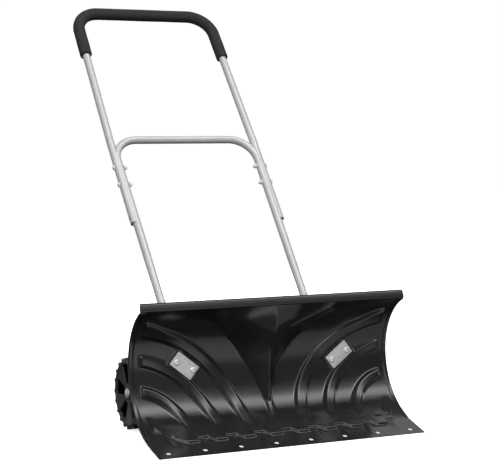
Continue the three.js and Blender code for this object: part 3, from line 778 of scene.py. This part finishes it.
def with_rim(columns, x, y, z, rim):
    """One face of the sheet, as a grid of points, with the rim's rows above it."""
    along = np.ones(len(columns))
    return np.stack([
        np.concatenate([x, np.outer(np.ones(len(rim)), columns)]),
        np.concatenate([y, np.outer(rim[:, 0], along)]),
        np.concatenate([z, np.outer(rim[:, 1], along)])], axis=-1)


def blade_bolt_holes():
    """The right clamp plate's two bolt holes, from before the plate to behind the tabs."""
    return [rod(M6_HOLE, (x, 160, z), (x, 205, z)) for x, z in BLADE_BOLTS]


def blade():
    columns, rows = blade_grid()
    x, distance = np.meshgrid(columns, rows)
    rim_front, rim_back = rim_sides()
    front = with_rim(columns, x, *blade_front(x, distance), rim_front)
    back = with_rim(columns, x, *blade_back(x, distance), rim_back)
    obj = quad_object("blade_mesh", *grid_solid(front, back))
    lip_y, lip_z, ny, nz = (float(value) for value in side_view(np.array(LIP_HOLE_SETBACK)))
    through = np.array((0, ny, nz)) * 12
    places = [np.array((x, lip_y, lip_z)) for x in LIP_HOLES]
    holes = [rod(LIP_HOLE_RADIUS, place - through, place + through, 28) for place in places]
    holes += [both_sides(hole) for hole in blade_bolt_holes()]
    piece("blade", obj, "blade_plastic", cuts=[together(holes)], sharp=50)


blade()

# ---- clamp plates and the bolts through the blade ----

PLATE_HALF = np.array((31.5, 18))
PLATE_THICKNESS = 3
HEAD_SEAT_Y = PAD_FRONT_Y - PLATE_THICKNESS - 2 * GAP
TAB_BACK_Y = PAD_BACK_Y + 0.4
SIDE_PLATE_THICKNESS = 4
BLADE_NUT_Y = TAB_BACK_Y + SIDE_PLATE_THICKNESS + GAP
WASHER = 1.4


def front_view(outline):
    """A local outline tilted and placed as the right clamp plate is, in X and Z."""
    c, s = math.cos(PLATE_TILT), math.sin(PLATE_TILT)
    return outline @ np.array(((c, s), (-s, c))) + PLATE_CENTRE


def along_y(shape):
    """Local (x, z, depth along Y) to (x, y, z)."""
    points, faces = shape
    return facing_out((points[:, (0, 2, 1)], faces))


def clamp_plate():
    corners = PLATE_HALF * ((-1, -1), (1, -1), (1, 1), (-1, 1))
    outline = front_view(rounded(corners, 2.4))
    return along_y(slab(outline, PAD_FRONT_Y - GAP - PLATE_THICKNESS, PAD_FRONT_Y - GAP, 0.7))


def thread(radius, start, end, sides, pitch=1.0, depth=0.32):
    """Rings of a screw thread from one local height down to another."""
    rings = []
    for height in np.arange(start, end, -pitch / 4):
        turn = (height / pitch - np.arange(sides) / sides) % 1
        reach = radius - depth * np.abs(2 * turn - 1)
        rings.append(np.column_stack([reach[:, None] * circle(1, sides), np.full(sides, height)]))
    return rings


def domed_bolt(head, dome, shank, length, threaded):
    """A domed bolt: its head sits on height 0 and its shank points down."""
    sides = 40
    slope = [(head * math.sin(a), dome * math.cos(a)) for a in np.linspace(0.12, 1.5, 9)]
    rings = [ring_at(radius, height, sides) for radius, height in slope]
    rings += [ring_at(head, 0.0, sides), ring_at(shank, 0.0, sides)]
    rings.append(ring_at(shank, threaded - length, sides))
    rings += thread(shank, threaded - length, 0.6 - length, sides)
    rings.append(ring_at(shank * 0.72, -length, sides))
    return loft(rings)


def hex_rings(across_flats, low, high, sides):
    """Rings up the outside of a hexagon whose corners are chamfered at both ends."""
    flat = across_flats / 2
    angle = np.arange(sides) * 2 * math.pi / sides
    radius = flat / np.cos((angle + math.pi / 6) % (math.pi / 3) - math.pi / 6)
    cut = np.maximum(radius - flat * 0.97, 0) * math.tan(math.radians(30))
    outside = radius[:, None] * circle(1, sides)
    return [
        ring_at(flat * 0.94, low, sides),
        np.column_stack([outside, low + 0.2 + cut]),
        np.column_stack([outside, high - 0.2 - cut]),
        ring_at(flat * 0.94, high, sides),
    ]


def hex_nut(across_flats, bore, high, flange=0.0, flange_height=0.0):
    """A chamfered nut on height 0, with a round flange at its foot if that has a radius."""
    sides = 48
    rings = [ring_at(bore, 0.0, sides)]
    if flange:
        rings += [ring_at(flange - 0.3, 0.0, sides), ring_at(flange, 0.4, sides),
                  ring_at(flange - 0.2, flange_height, sides)]
    body = hex_rings(across_flats, flange_height, high, sides)
    rings += body[1 if flange else 0:]
    rings += [ring_at(bore + 0.5, high, sides), ring_at(bore, high - 0.5, sides)]
    return loft(rings, closed=True)


def flat_washer(bore, outer):
    edge = 0.25
    return turned([(bore, edge), (bore + edge, 0), (outer - edge, 0), (outer, edge),
                   (outer, WASHER - edge), (outer - edge, WASHER), (bore + edge, WASHER),
                   (bore, WASHER - edge)], 48, closed=True)


def fastener(name, number, shape, place, direction):
    """A numbered fastener on each side, its local Z axis along direction on the right."""
    pair(name, facing(shape, place, direction), "zinc_fastener", f"_{number}")


def blade_hardware():
    pair("clamp_plate", clamp_plate(), "zinc_plate", cuts=[together(blade_bolt_holes())])
    length = BLADE_NUT_Y + 9 - HEAD_SEAT_Y
    for i, (x, z) in enumerate(BLADE_BOLTS, 1):
        bolt = domed_bolt(7.4, 3.6, M6, length, 14)
        fastener("blade_bolt", i, bolt, (x, HEAD_SEAT_Y, z), (0, -1, 0))
        nut = hex_nut(10, M6_HOLE, 6.5, 7, 1.5)
        fastener("blade_nut", i, nut, (x, BLADE_NUT_Y, z), (0, 1, 0))


blade_hardware()

# ---- tube frames ----

LEAN = math.radians(40)
ROOT = np.array((0, 232, 166))
UP_HANDLE = np.array((0, math.sin(LEAN), math.cos(LEAN)))
OFF_HANDLE = np.array((0, -math.cos(LEAN), math.sin(LEAN)))
TUBE_RADIUS = 10
TUBE_WALL = 1.2
CORNER_RADIUS = 65
LEG_FOOT = -22
LEG_KINK = 120
LEG_FOOT_X = 187.5
LOWER_BAR = 657
LOWER_BAR_X = 194.3
UPPER_FOOT = 395
UPPER_BEND = 645
UPPER_BAR = 1095.1
UPPER_BAR_X = 193.5
GRIP_END = 942
GRIP_RADIUS = 16
GRIP_STEP = 2.5
HANDLE_HOLES = (568, 515, 462, 408)
HANDLE_BOLTS = HANDLE_HOLES[:2]
LEG_BOLTS = (15, 65)


def on_handle(x, along):
    return np.array((x, 0, 0)) + ROOT + along * UP_HANDLE


def lower_leg_x(along):
    share = max(along - LEG_KINK, 0) / (LOWER_BAR - LEG_KINK)
    return LEG_FOOT_X + share * (LOWER_BAR_X - LEG_FOOT_X)


def upper_offset(along):
    return 6.4 - 1.4 * (along - UPPER_FOOT) / (UPPER_BEND - UPPER_FOOT)


def loop_path(right, radii):
    """A path up the right leg, over the bar and down the left one; radii round its corners."""
    left = [point * (-1, 1, 1) for point in reversed(right)]
    return fillet_path([*right, *left], [*radii, *reversed(radii)])


def lower_path(extra=0):
    right = [on_handle(LEG_FOOT_X, LEG_FOOT - extra), on_handle(LEG_FOOT_X, LEG_KINK),
             on_handle(LOWER_BAR_X, LOWER_BAR)]
    return loop_path(right, (400, CORNER_RADIUS))


def upper_leg_x(along):
    return lower_leg_x(along) + upper_offset(along)


def upper_path(extra=0):
    start = UPPER_FOOT - extra
    right = [on_handle(upper_leg_x(start), start), on_handle(upper_leg_x(UPPER_BEND), UPPER_BEND),
             on_handle(UPPER_BAR_X, UPPER_BAR)]
    return loop_path(right, (300, CORNER_RADIUS))


def leg_holes(places, radius):
    """Round holes along X through both legs."""
    holes = [rod(radius, on_handle(150, along), on_handle(240, along)) for along in places]
    return both_sides(together(holes))


def lower_frame():
    tube = pipe(lower_path(), TUBE_RADIUS, TUBE_RADIUS - TUBE_WALL, OFF_HANDLE)
    holes = together([leg_holes(HANDLE_BOLTS, M6_HOLE), leg_holes(LEG_BOLTS, M8_HOLE)])
    piece("lower_frame", tube, "silver_tube", cuts=[holes])


def upper_handle():
    """The handle's lower ends are pressed to a saddle that nests round the lower frame's legs."""
    bore = new_object("bore", sweep(upper_path(4), TUBE_RADIUS - TUBE_WALL, OFF_HANDLE))
    combine(bore, "DIFFERENCE", sweep(lower_path(), TUBE_RADIUS + TUBE_WALL + GAP, OFF_HANDLE))
    bore_shape = shape_of(bore)
    outer = sweep(upper_path(), TUBE_RADIUS, OFF_HANDLE)
    saddle = sweep(lower_path(), TUBE_RADIUS + GAP, OFF_HANDLE)
    cuts = [saddle, bore_shape, leg_holes(HANDLE_HOLES, M6_HOLE)]
    piece("upper_handle", outer, "silver_tube", cuts=cuts)


def foam_grip():
    """A foam sleeve over the bar and the tops of the legs, slightly uneven, with rounded ends."""
    path = upper_path()
    heights = (path - ROOT) @ UP_HANDLE
    share = (GRIP_END - UPPER_BEND) / (UPPER_BAR - UPPER_BEND)
    foot_x = upper_leg_x(UPPER_BEND) + share * (UPPER_BAR_X - upper_leg_x(UPPER_BEND))
    middle = path[heights > GRIP_END + 5]
    foot = on_handle(foot_x, GRIP_END)
    path = resampled(np.concatenate([[foot], middle, [foot * (-1, 1, 1)]]), GRIP_STEP)
    place = np.arange(len(path)) * GRIP_STEP
    from_end = np.minimum(place, place[::-1])
    round_end = 3.2 * (1 - np.sqrt(np.clip(1 - (1 - np.clip(from_end / 5, 0, 1)) ** 2, 0, 1)))
    uneven = 0.10 * np.sin(place / 23) + 0.07 * np.sin(place / 7.3 + 1) + 0.05 * np.sin(place / 3.1)
    outer = GRIP_RADIUS - 0.2 + uneven - round_end
    rings = sweep_rings(path, outer, OFF_HANDLE, 56)
    rings += sweep_rings(path, TUBE_RADIUS + GAP, OFF_HANDLE, 56)[::-1]
    grip = piece("foam_grip", loft(rings, closed=True), "grip_foam", sharp=60)


def leg_plugs():
    """Caps pressed into the lower frame's open feet."""
    flange = TUBE_RADIUS
    stem = TUBE_RADIUS - TUBE_WALL - GAP
    profile = [(4, -4.0), (7.5, -3.7), (flange - 0.6, -3.0), (flange, -2.0), (flange, -GAP),
               (stem, -GAP), (stem, 10), (stem - 1.2, 12)]
    plug = facing(turned(profile), on_handle(LEG_FOOT_X, LEG_FOOT), UP_HANDLE)
    pair("leg_plug", plug, "plug_plastic")


def handle_bolts():
    for i, along in enumerate(HANDLE_BOLTS, 1):
        outer_x = upper_leg_x(along) + TUBE_RADIUS + 2 * GAP
        inner_x = lower_leg_x(along) - TUBE_RADIUS - GAP
        y, z = on_handle(0, along)[1:]
        length = outer_x - inner_x + WASHER + 8
        bolt = domed_bolt(6.5, 3.6, M6, length, 16)
        fastener("handle_bolt", i, bolt, (outer_x, y, z), (1, 0, 0))
        washer = flat_washer(M6_HOLE, 6.2)
        fastener("handle_washer", i, washer, (inner_x - WASHER, y, z), (1, 0, 0))
        nut = hex_nut(10, M6_HOLE, 5)
        fastener("handle_nut", i, nut, (inner_x - WASHER - GAP, y, z), (-1, 0, 0))


lower_frame()
upper_handle()
foam_grip()
leg_plugs()
handle_bolts()

# ---- side plates and leg bolts ----

SIDE_PLATE_X = 198.6
SIDE_PLATE_OUTER = SIDE_PLATE_X + SIDE_PLATE_THICKNESS
TAB_WIDTH = 37
AXLE = millimetres(frame["joints"][0]["pos_m"])[1:]
AXLE_RADIUS = 6


def along_x(shape):
    """Local (y, z, depth along X) to (x, y, z)."""
    points, faces = shape
    return facing_out((points[:, (2, 0, 1)], faces))


def side_plate():
    bolt = on_handle(0, LEG_BOLTS[1])[1:]
    over_bolt = bolt + arc(17, 2.0, 0.4, 14)
    under_axle = AXLE + arc(20, 0.4, -2.1, 22)
    outline = np.array([(TAB_BACK_Y, 141), (TAB_BACK_Y, 191), *over_bolt, *under_axle])[::-1]
    return along_x(slab(outline, SIDE_PLATE_X, SIDE_PLATE_OUTER, 0.8))


def tab(from_x, to_x, from_z, to_z):
    """A bent-over tab of the side plate behind the blade."""
    corners = np.array(((from_x, from_z), (to_x, from_z), (to_x, to_z), (from_x, to_z)))
    return along_y(slab(rounded(corners, 3), TAB_BACK_Y, TAB_BACK_Y + SIDE_PLATE_THICKNESS, 0.8))


def side_plates():
    tabs = [tab(SIDE_PLATE_X, SIDE_PLATE_X + TAB_WIDTH, 164.5, 191),
            tab(SIDE_PLATE_OUTER - TAB_WIDTH, SIDE_PLATE_OUTER, 141, 163.5)]
    holes = blade_bolt_holes()
    holes += [rod(M8_HOLE, on_handle(190, along), on_handle(210, along)) for along in LEG_BOLTS]
    holes.append(rod(AXLE_RADIUS + GAP, (190, *AXLE), (210, *AXLE), 40))
    pair("side_plate", side_plate(), "black_steel", joins=tabs, cuts=[together(holes)])


def leg_bolts():
    """Flanged hexagon bolts through the side plates and legs, with washers and nuts inside."""
    head_x = SIDE_PLATE_OUTER + GAP
    inner_x = LEG_FOOT_X - TUBE_RADIUS - GAP
    nut_x = inner_x - WASHER - GAP
    length = head_x - nut_x + 9
    for i, along in enumerate(LEG_BOLTS, 1):
        y, z = on_handle(0, along)[1:]
        sides = 48
        rings = hex_rings(13, 1.6, 6.3, sides)[:0:-1]
        rings += [ring_at(7.4, 1.5, sides), ring_at(8.5, 0.9, sides), ring_at(8.5, 0.0, sides)]
        rings += [ring_at(M8, 0.0, sides), ring_at(M8, 16 - length, sides)]
        rings += thread(M8, 16 - length, 0.8 - length, sides, 1.25, 0.4)
        rings.append(ring_at(3, -length, sides))
        fastener("leg_bolt", i, loft(rings), (head_x, y, z), (1, 0, 0))
        washer = flat_washer(M8_HOLE, 8)
        fastener("leg_washer", i, washer, (inner_x - WASHER, y, z), (1, 0, 0))
        fastener("leg_nut", i, hex_nut(13, M8_HOLE, 6.5), (nut_x, y, z), (-1, 0, 0))


side_plates()
leg_bolts()

# ---- axle and wheels ----

AXLE_HALF_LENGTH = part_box("axle")[1].x / MM
PIN_X = SIDE_PLATE_X - 4
WHEEL_RADIUS = (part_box("wheel_right")[1].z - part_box("wheel_right")[0].z) / 2 / MM
WHEEL_INNER_X = 241
WHEEL_OUTER_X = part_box("wheel_right")[1].x / MM
HUB_INNER_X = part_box("wheel_right")[0].x / MM
HUB_OUTER_X = WHEEL_OUTER_X - 6
SPACER_OUTER_X = HUB_INNER_X - WASHER - 2 * GAP
CAP_X = HUB_OUTER_X + WASHER + 2 * GAP
HUB_RADIUS = 17
RIM_RADIUS = 78
RIM_WALL = 5
RIM_INNER = 71
DISC_RADIUS = 73
SPOKES = 5
WINDOW_PHASE = math.radians(8)
# Half the angle that a window takes at its outer and inner edge, in radians.
WINDOW_OUTER_HALF = 0.30
WINDOW_INNER_HALF = 0.42
TREAD_LUGS = 20
LUG_LENGTH = 10
LUG_PHASE = math.radians(-4)


def on_axle(shape):
    """A local shape whose Z axis is the axle."""
    points, faces = along_x(shape)
    return points + (0, *AXLE), faces


def split_pin():
    """A wire pin through the axle: an eye above and two ends bent apart below."""
    eye = [(3.0 * math.sin(a), 13.5 - 3.0 * math.cos(a)) for a in np.radians(np.arange(-160, 161, 16))]
    legs = [(-4.5, -13.5), (-2.4, -12.2), (-0.85, -9.5), (-0.85, 9)]
    flat = [*legs, *eye, *[(-a, b) for a, b in reversed(legs)]]
    path = np.array([(PIN_X, AXLE[0] + a, AXLE[1] + b) for a, b in flat])
    return sweep(path, 0.78, np.array((1.0, 0, 0)), 14)


def window(index):
    """The outline of a wheel window between two spokes."""
    middle = 2 * math.pi * index / SPOKES + WINDOW_PHASE
    outer = arc(RIM_INNER - 1.5, middle - WINDOW_OUTER_HALF, middle + WINDOW_OUTER_HALF, 14)
    inner = arc(HUB_RADIUS + 7, middle + WINDOW_INNER_HALF, middle - WINDOW_INNER_HALF, 10)
    return rounded(np.concatenate([outer, inner]), 4)


def lug(index):
    """A tread block: a rounded bar across the rim."""
    foot, top = RIM_RADIUS - 2, WHEEL_RADIUS
    half = LUG_LENGTH / 2
    outline = rounded(((-half, foot), (half, foot), (half - 0.8, top), (0.8 - half, top)), 3.2)
    points, faces = slab(outline, WHEEL_INNER_X + 1, WHEEL_OUTER_X - 1, 1.2)
    angle = 2 * math.pi * index / TREAD_LUGS + LUG_PHASE - math.pi / 2
    c, s = math.cos(angle), math.sin(angle)
    return points @ np.array(((c, s, 0), (-s, c, 0), (0, 0, 1))), faces


def wheel():
    """One moulded wheel: rim with tread blocks, disc with five windows, and hub."""
    inner, outer = WHEEL_INNER_X, WHEEL_OUTER_X
    wall = RIM_RADIUS - RIM_WALL
    flange = outer - 12
    rim = turned([
        (RIM_INNER, flange), (wall - 1, flange), (wall, flange - 1), (wall, inner),
        (RIM_RADIUS - 0.8, inner), (RIM_RADIUS, inner + 0.8), (RIM_RADIUS, outer - 3),
        (RIM_RADIUS - 1, outer - 1.2), (RIM_RADIUS - 3, outer), (RIM_INNER + 2, outer),
        (RIM_INNER, outer - 1.5)], 144, closed=True)
    disc = turned([(3, outer - 11), (DISC_RADIUS, outer - 5), (DISC_RADIUS, outer - 0.5),
                   (HUB_RADIUS + 1, outer - 6), (3, outer - 6.2)], 96)
    hub = turned([
        (3, HUB_INNER_X), (HUB_RADIUS - 1, HUB_INNER_X), (HUB_RADIUS, HUB_INNER_X + 1),
        (HUB_RADIUS + 1.5, outer - 14), (HUB_RADIUS + 1.5, outer - 7.6),
        (HUB_RADIUS, HUB_OUTER_X - 0.4), (HUB_RADIUS - 0.8, HUB_OUTER_X), (3, HUB_OUTER_X)], 72)
    windows = together([slab(window(i), outer - 20, outer + 3) for i in range(SPOKES)])
    lugs = together([lug(i) for i in range(TREAD_LUGS)])
    bore = turned([(AXLE_RADIUS + 0.2, HUB_INNER_X - 2), (AXLE_RADIUS + 0.2, HUB_OUTER_X + 2)], 48)
    return rim, disc, hub, windows, lugs, bore


def wheels():
    rim, disc, hub, windows, lugs, bore = (on_axle(part) for part in wheel())
    for side, turn in (("right", lambda shape: shape), ("left", mirrored)):
        obj = new_object("wheel_mesh", turn(disc))
        combine(obj, "DIFFERENCE", turn(windows))
        for part in (rim, hub, lugs):
            combine(obj, "UNION", turn(part))
        piece(f"wheel_{side}", obj, "wheel_plastic", body=f"{side}_wheel", cuts=[turn(bore)])


def axle_set():
    end = AXLE_HALF_LENGTH
    profile = [(4.6, -end), (AXLE_RADIUS, 1.4 - end), (AXLE_RADIUS, end - 1.4), (4.6, end)]
    axle = on_axle(turned(profile, 56))
    hole = rod(1.9, (PIN_X, AXLE[0], AXLE[1] - 20), (PIN_X, AXLE[0], AXLE[1] + 20))
    piece("axle", axle, "zinc_fastener", cuts=[both_sides(hole)])
    pair("axle_pin", split_pin(), "zinc_fastener")
    bore = AXLE_RADIUS + GAP
    low, high = SIDE_PLATE_OUTER + GAP, SPACER_OUTER_X
    spacer = [(bore, low), (8.6, low), (9, low + 0.4), (9, high - 0.4), (8.6, high), (bore, high)]
    pair("axle_spacer", on_axle(turned(spacer, 56, closed=True)), "zinc_fastener")
    for i, face in enumerate((SPACER_OUTER_X + GAP, HUB_OUTER_X + GAP), 1):
        fastener("axle_washer", i, flat_washer(bore, 11), (face, *AXLE), (1, 0, 0))
    skirt = AXLE_RADIUS + 0.2
    dome = [(11.5 * math.cos(a), CAP_X + 1.2 + 3.2 * math.sin(a)) for a in np.linspace(0, 1.45, 10)]
    cap = [(skirt, CAP_X), (11.2, CAP_X), (11.5, CAP_X + 0.3), *dome, (0.8, CAP_X + 3), (skirt, CAP_X + 3)]
    pair("axle_cap", on_axle(turned(cap, 56, closed=True)), "zinc_fastener")


wheels()
axle_set()

# ---- stage ----

CAMERA_PLACE = (-1.4883, -3.3727, 0.7111)
CAMERA_AIM = (0.1076, 0.0, 0.4333)
CAMERA_LENS = 107.3
PAPER_GLOW = (0.75, 0.96)
FLOOR_DROP = 0.0005


def paper():
    """Pale paper that glows evenly, a little less under the object so that it takes a shadow."""
    white = (1, 1, 1, 1)
    shader = Shader("paper", Base_Color=(0.9, 0.9, 0.9, 1), Roughness=0.9, Emission_Color=white)
    reach = shader.add("ShaderNodeVectorMath", operation="LENGTH")
    shader.link(shader.place, reach.inputs[0])
    glow = shader.ramp(reach.outputs["Value"], 0.6, 3.0, *PAPER_GLOW)
    shader.link(glow, shader.surface.inputs["Emission Strength"])
    return shader.material


def plain_mesh(name, points, faces, material):
    mesh = bpy.data.meshes.new(name)
    mesh.from_pydata(points, [], faces)
    mesh.materials.append(material)
    mesh.shade_smooth()
    obj = in_scene(name, mesh)
    return obj


def studio():
    """A round pale floor that curves up into a dome-like wall far behind."""
    sides = 96
    profile = [(0.001, 0.0), (3.0, 0.0), (8.0, 0.0)]
    profile += [(8 + 4 * math.sin(a), 4 - 4 * math.cos(a)) for a in np.linspace(0.15, 1.57, 12)]
    profile += [(12.0, 8.0)]
    points, faces = [], []
    for radius, height in profile:
        points += ring_at(radius, height - FLOOR_DROP, sides).tolist()
    for ring in range(len(profile) - 1):
        for i in range(sides):
            a, b = ring * sides + i, ring * sides + (i + 1) % sides
            faces.append((a, b, b + sides, a + sides))
    floor = plain_mesh("floor", points, faces, paper())
    floor.visible_glossy = False
    floor.visible_diffuse = False


def aimed(name, data, place, target):
    """A lamp or camera at a place, looking at a target."""
    obj = in_scene(name, data)
    obj.location = place
    obj.rotation_euler = (Vector(target) - Vector(place)).to_track_quat("-Z", "Y").to_euler()
    return obj


def softbox(name, place, target, size, power):
    """A soft lamp that doesn't show in the glossy pieces, which mirror the world instead."""
    data = bpy.data.lights.new(name, "AREA")
    data.shape = "RECTANGLE"
    data.size, data.size_y = size
    data.energy = power
    aimed(name, data, place, target).visible_glossy = False


# The surroundings that the glossy pieces mirror: degrees up from the horizon in front, over the
# top and down behind, with the light there.
SURROUNDINGS = ((-180, 2.5), (-165, 0.5), (-150, 0.06), (-86, 0.10), (-62, 1.4), (-12, 1.3), (0, 0.28),
                (34, 0.28), (46, 1.6), (54, 4.2), (60, 14.0), (69, 14.0), (75, 2.8), (82, 0.30),
                (118, 0.30), (133, 0.9), (162, 0.4), (174, 1.2), (180, 2.5))
# How much of that light there is: degrees round from straight ahead, to the right positive.
SIDES = ((-180, 0.3), (-60, 0.05), (0, 0.08), (13, 1.0), (20, 1.0), (33, 0.4), (60, 0.3), (110, 0.4),
         (140, 1.0), (180, 1.0))
# A tall light to the left in front, which draws the bright lines along edges, and its strength
# from low to high.
TALL_LIGHT = ((-180, 0.0), (-62, 0.0), (-46, 2.2), (-28, 2.2), (-12, 0.0), (180, 0.0))
TALL_LEVELS = ((-180, 0.0), (-85, 0.1), (-12, 0.1), (14, 0.15), (28, 1.0), (100, 1.0), (180, 0.0))


def world():
    """Light that only the glossy pieces mirror; the lamps do the rest."""
    scene_world = bpy.data.worlds.new("studio")
    bpy.context.scene.world = scene_world
    scene_world.use_nodes = True
    tree = scene_world.node_tree
    background = tree.nodes["Background"]
    background.inputs["Color"].default_value = (1, 1, 1, 1)

    def math_node(operation, first, second):
        node = tree.nodes.new("ShaderNodeMath")
        node.operation = operation
        for socket, value in zip(node.inputs, (first, second)):
            if isinstance(value, float):
                socket.default_value = value
            else:
                tree.links.new(value, socket)
        return node.outputs["Value"]

    def round_ramp(first, second, levels):
        """Light by an angle in degrees, that of (first, second) from the second axis."""
        turn = math_node("ARCTAN2", first, second)
        share = math_node("ADD", math_node("MULTIPLY", turn, 1 / (2 * math.pi)), 0.5)
        ramp = tree.nodes.new("ShaderNodeValToRGB")
        tree.links.new(share, ramp.inputs["Fac"])
        for _ in levels[2:]:
            ramp.color_ramp.elements.new(0.5)
        for element, (angle, level) in zip(ramp.color_ramp.elements, levels):
            element.position = (angle + 180) / 360
            element.color = (level, level, level, 1)
        return ramp.outputs["Color"]

    coordinates = tree.nodes.new("ShaderNodeTexCoord")
    split = tree.nodes.new("ShaderNodeSeparateXYZ")
    tree.links.new(coordinates.outputs["Generated"], split.inputs["Vector"])
    across, up = split.outputs["X"], split.outputs["Z"]
    forward = math_node("MULTIPLY", split.outputs["Y"], -1.0)

    def lit_by(levels_up, levels_across):
        return math_node(
            "MULTIPLY", round_ramp(up, forward, levels_up), round_ramp(across, forward, levels_across))

    light = math_node("ADD", lit_by(SURROUNDINGS, SIDES), lit_by(TALL_LEVELS, TALL_LIGHT))
    tree.links.new(light, background.inputs["Strength"])
    scene_world.cycles_visibility.diffuse = False


def camera():
    data = bpy.data.cameras.new("camera")
    data.lens = CAMERA_LENS
    data.sensor_width = 36
    data.clip_end = 100
    bpy.context.scene.camera = aimed("camera", data, CAMERA_PLACE, CAMERA_AIM)


studio()
world()
camera()
softbox("overhead", (0.2, -0.6, 2.6), (0.0, 0.0, 0.2), (2.0, 1.0), 42)
softbox("left_key", (-2.3, -1.4, 1.9), (0.0, 0.0, 0.5), (1.6, 1.6), 45)
softbox("front", (-0.6, -3.0, 1.6), (0.0, 0.0, 0.5), (1.5, 1.5), 60)
softbox("back_top", (0.3, 1.8, 2.6), (0.0, 0.2, 0.4), (2.5, 1.2), 20)
softbox("behind", (0.9, 3.0, 1.5), (0.0, 0.2, 0.4), (2.2, 1.4), 75)
bpy.context.scene.view_settings.view_transform = "Standard"
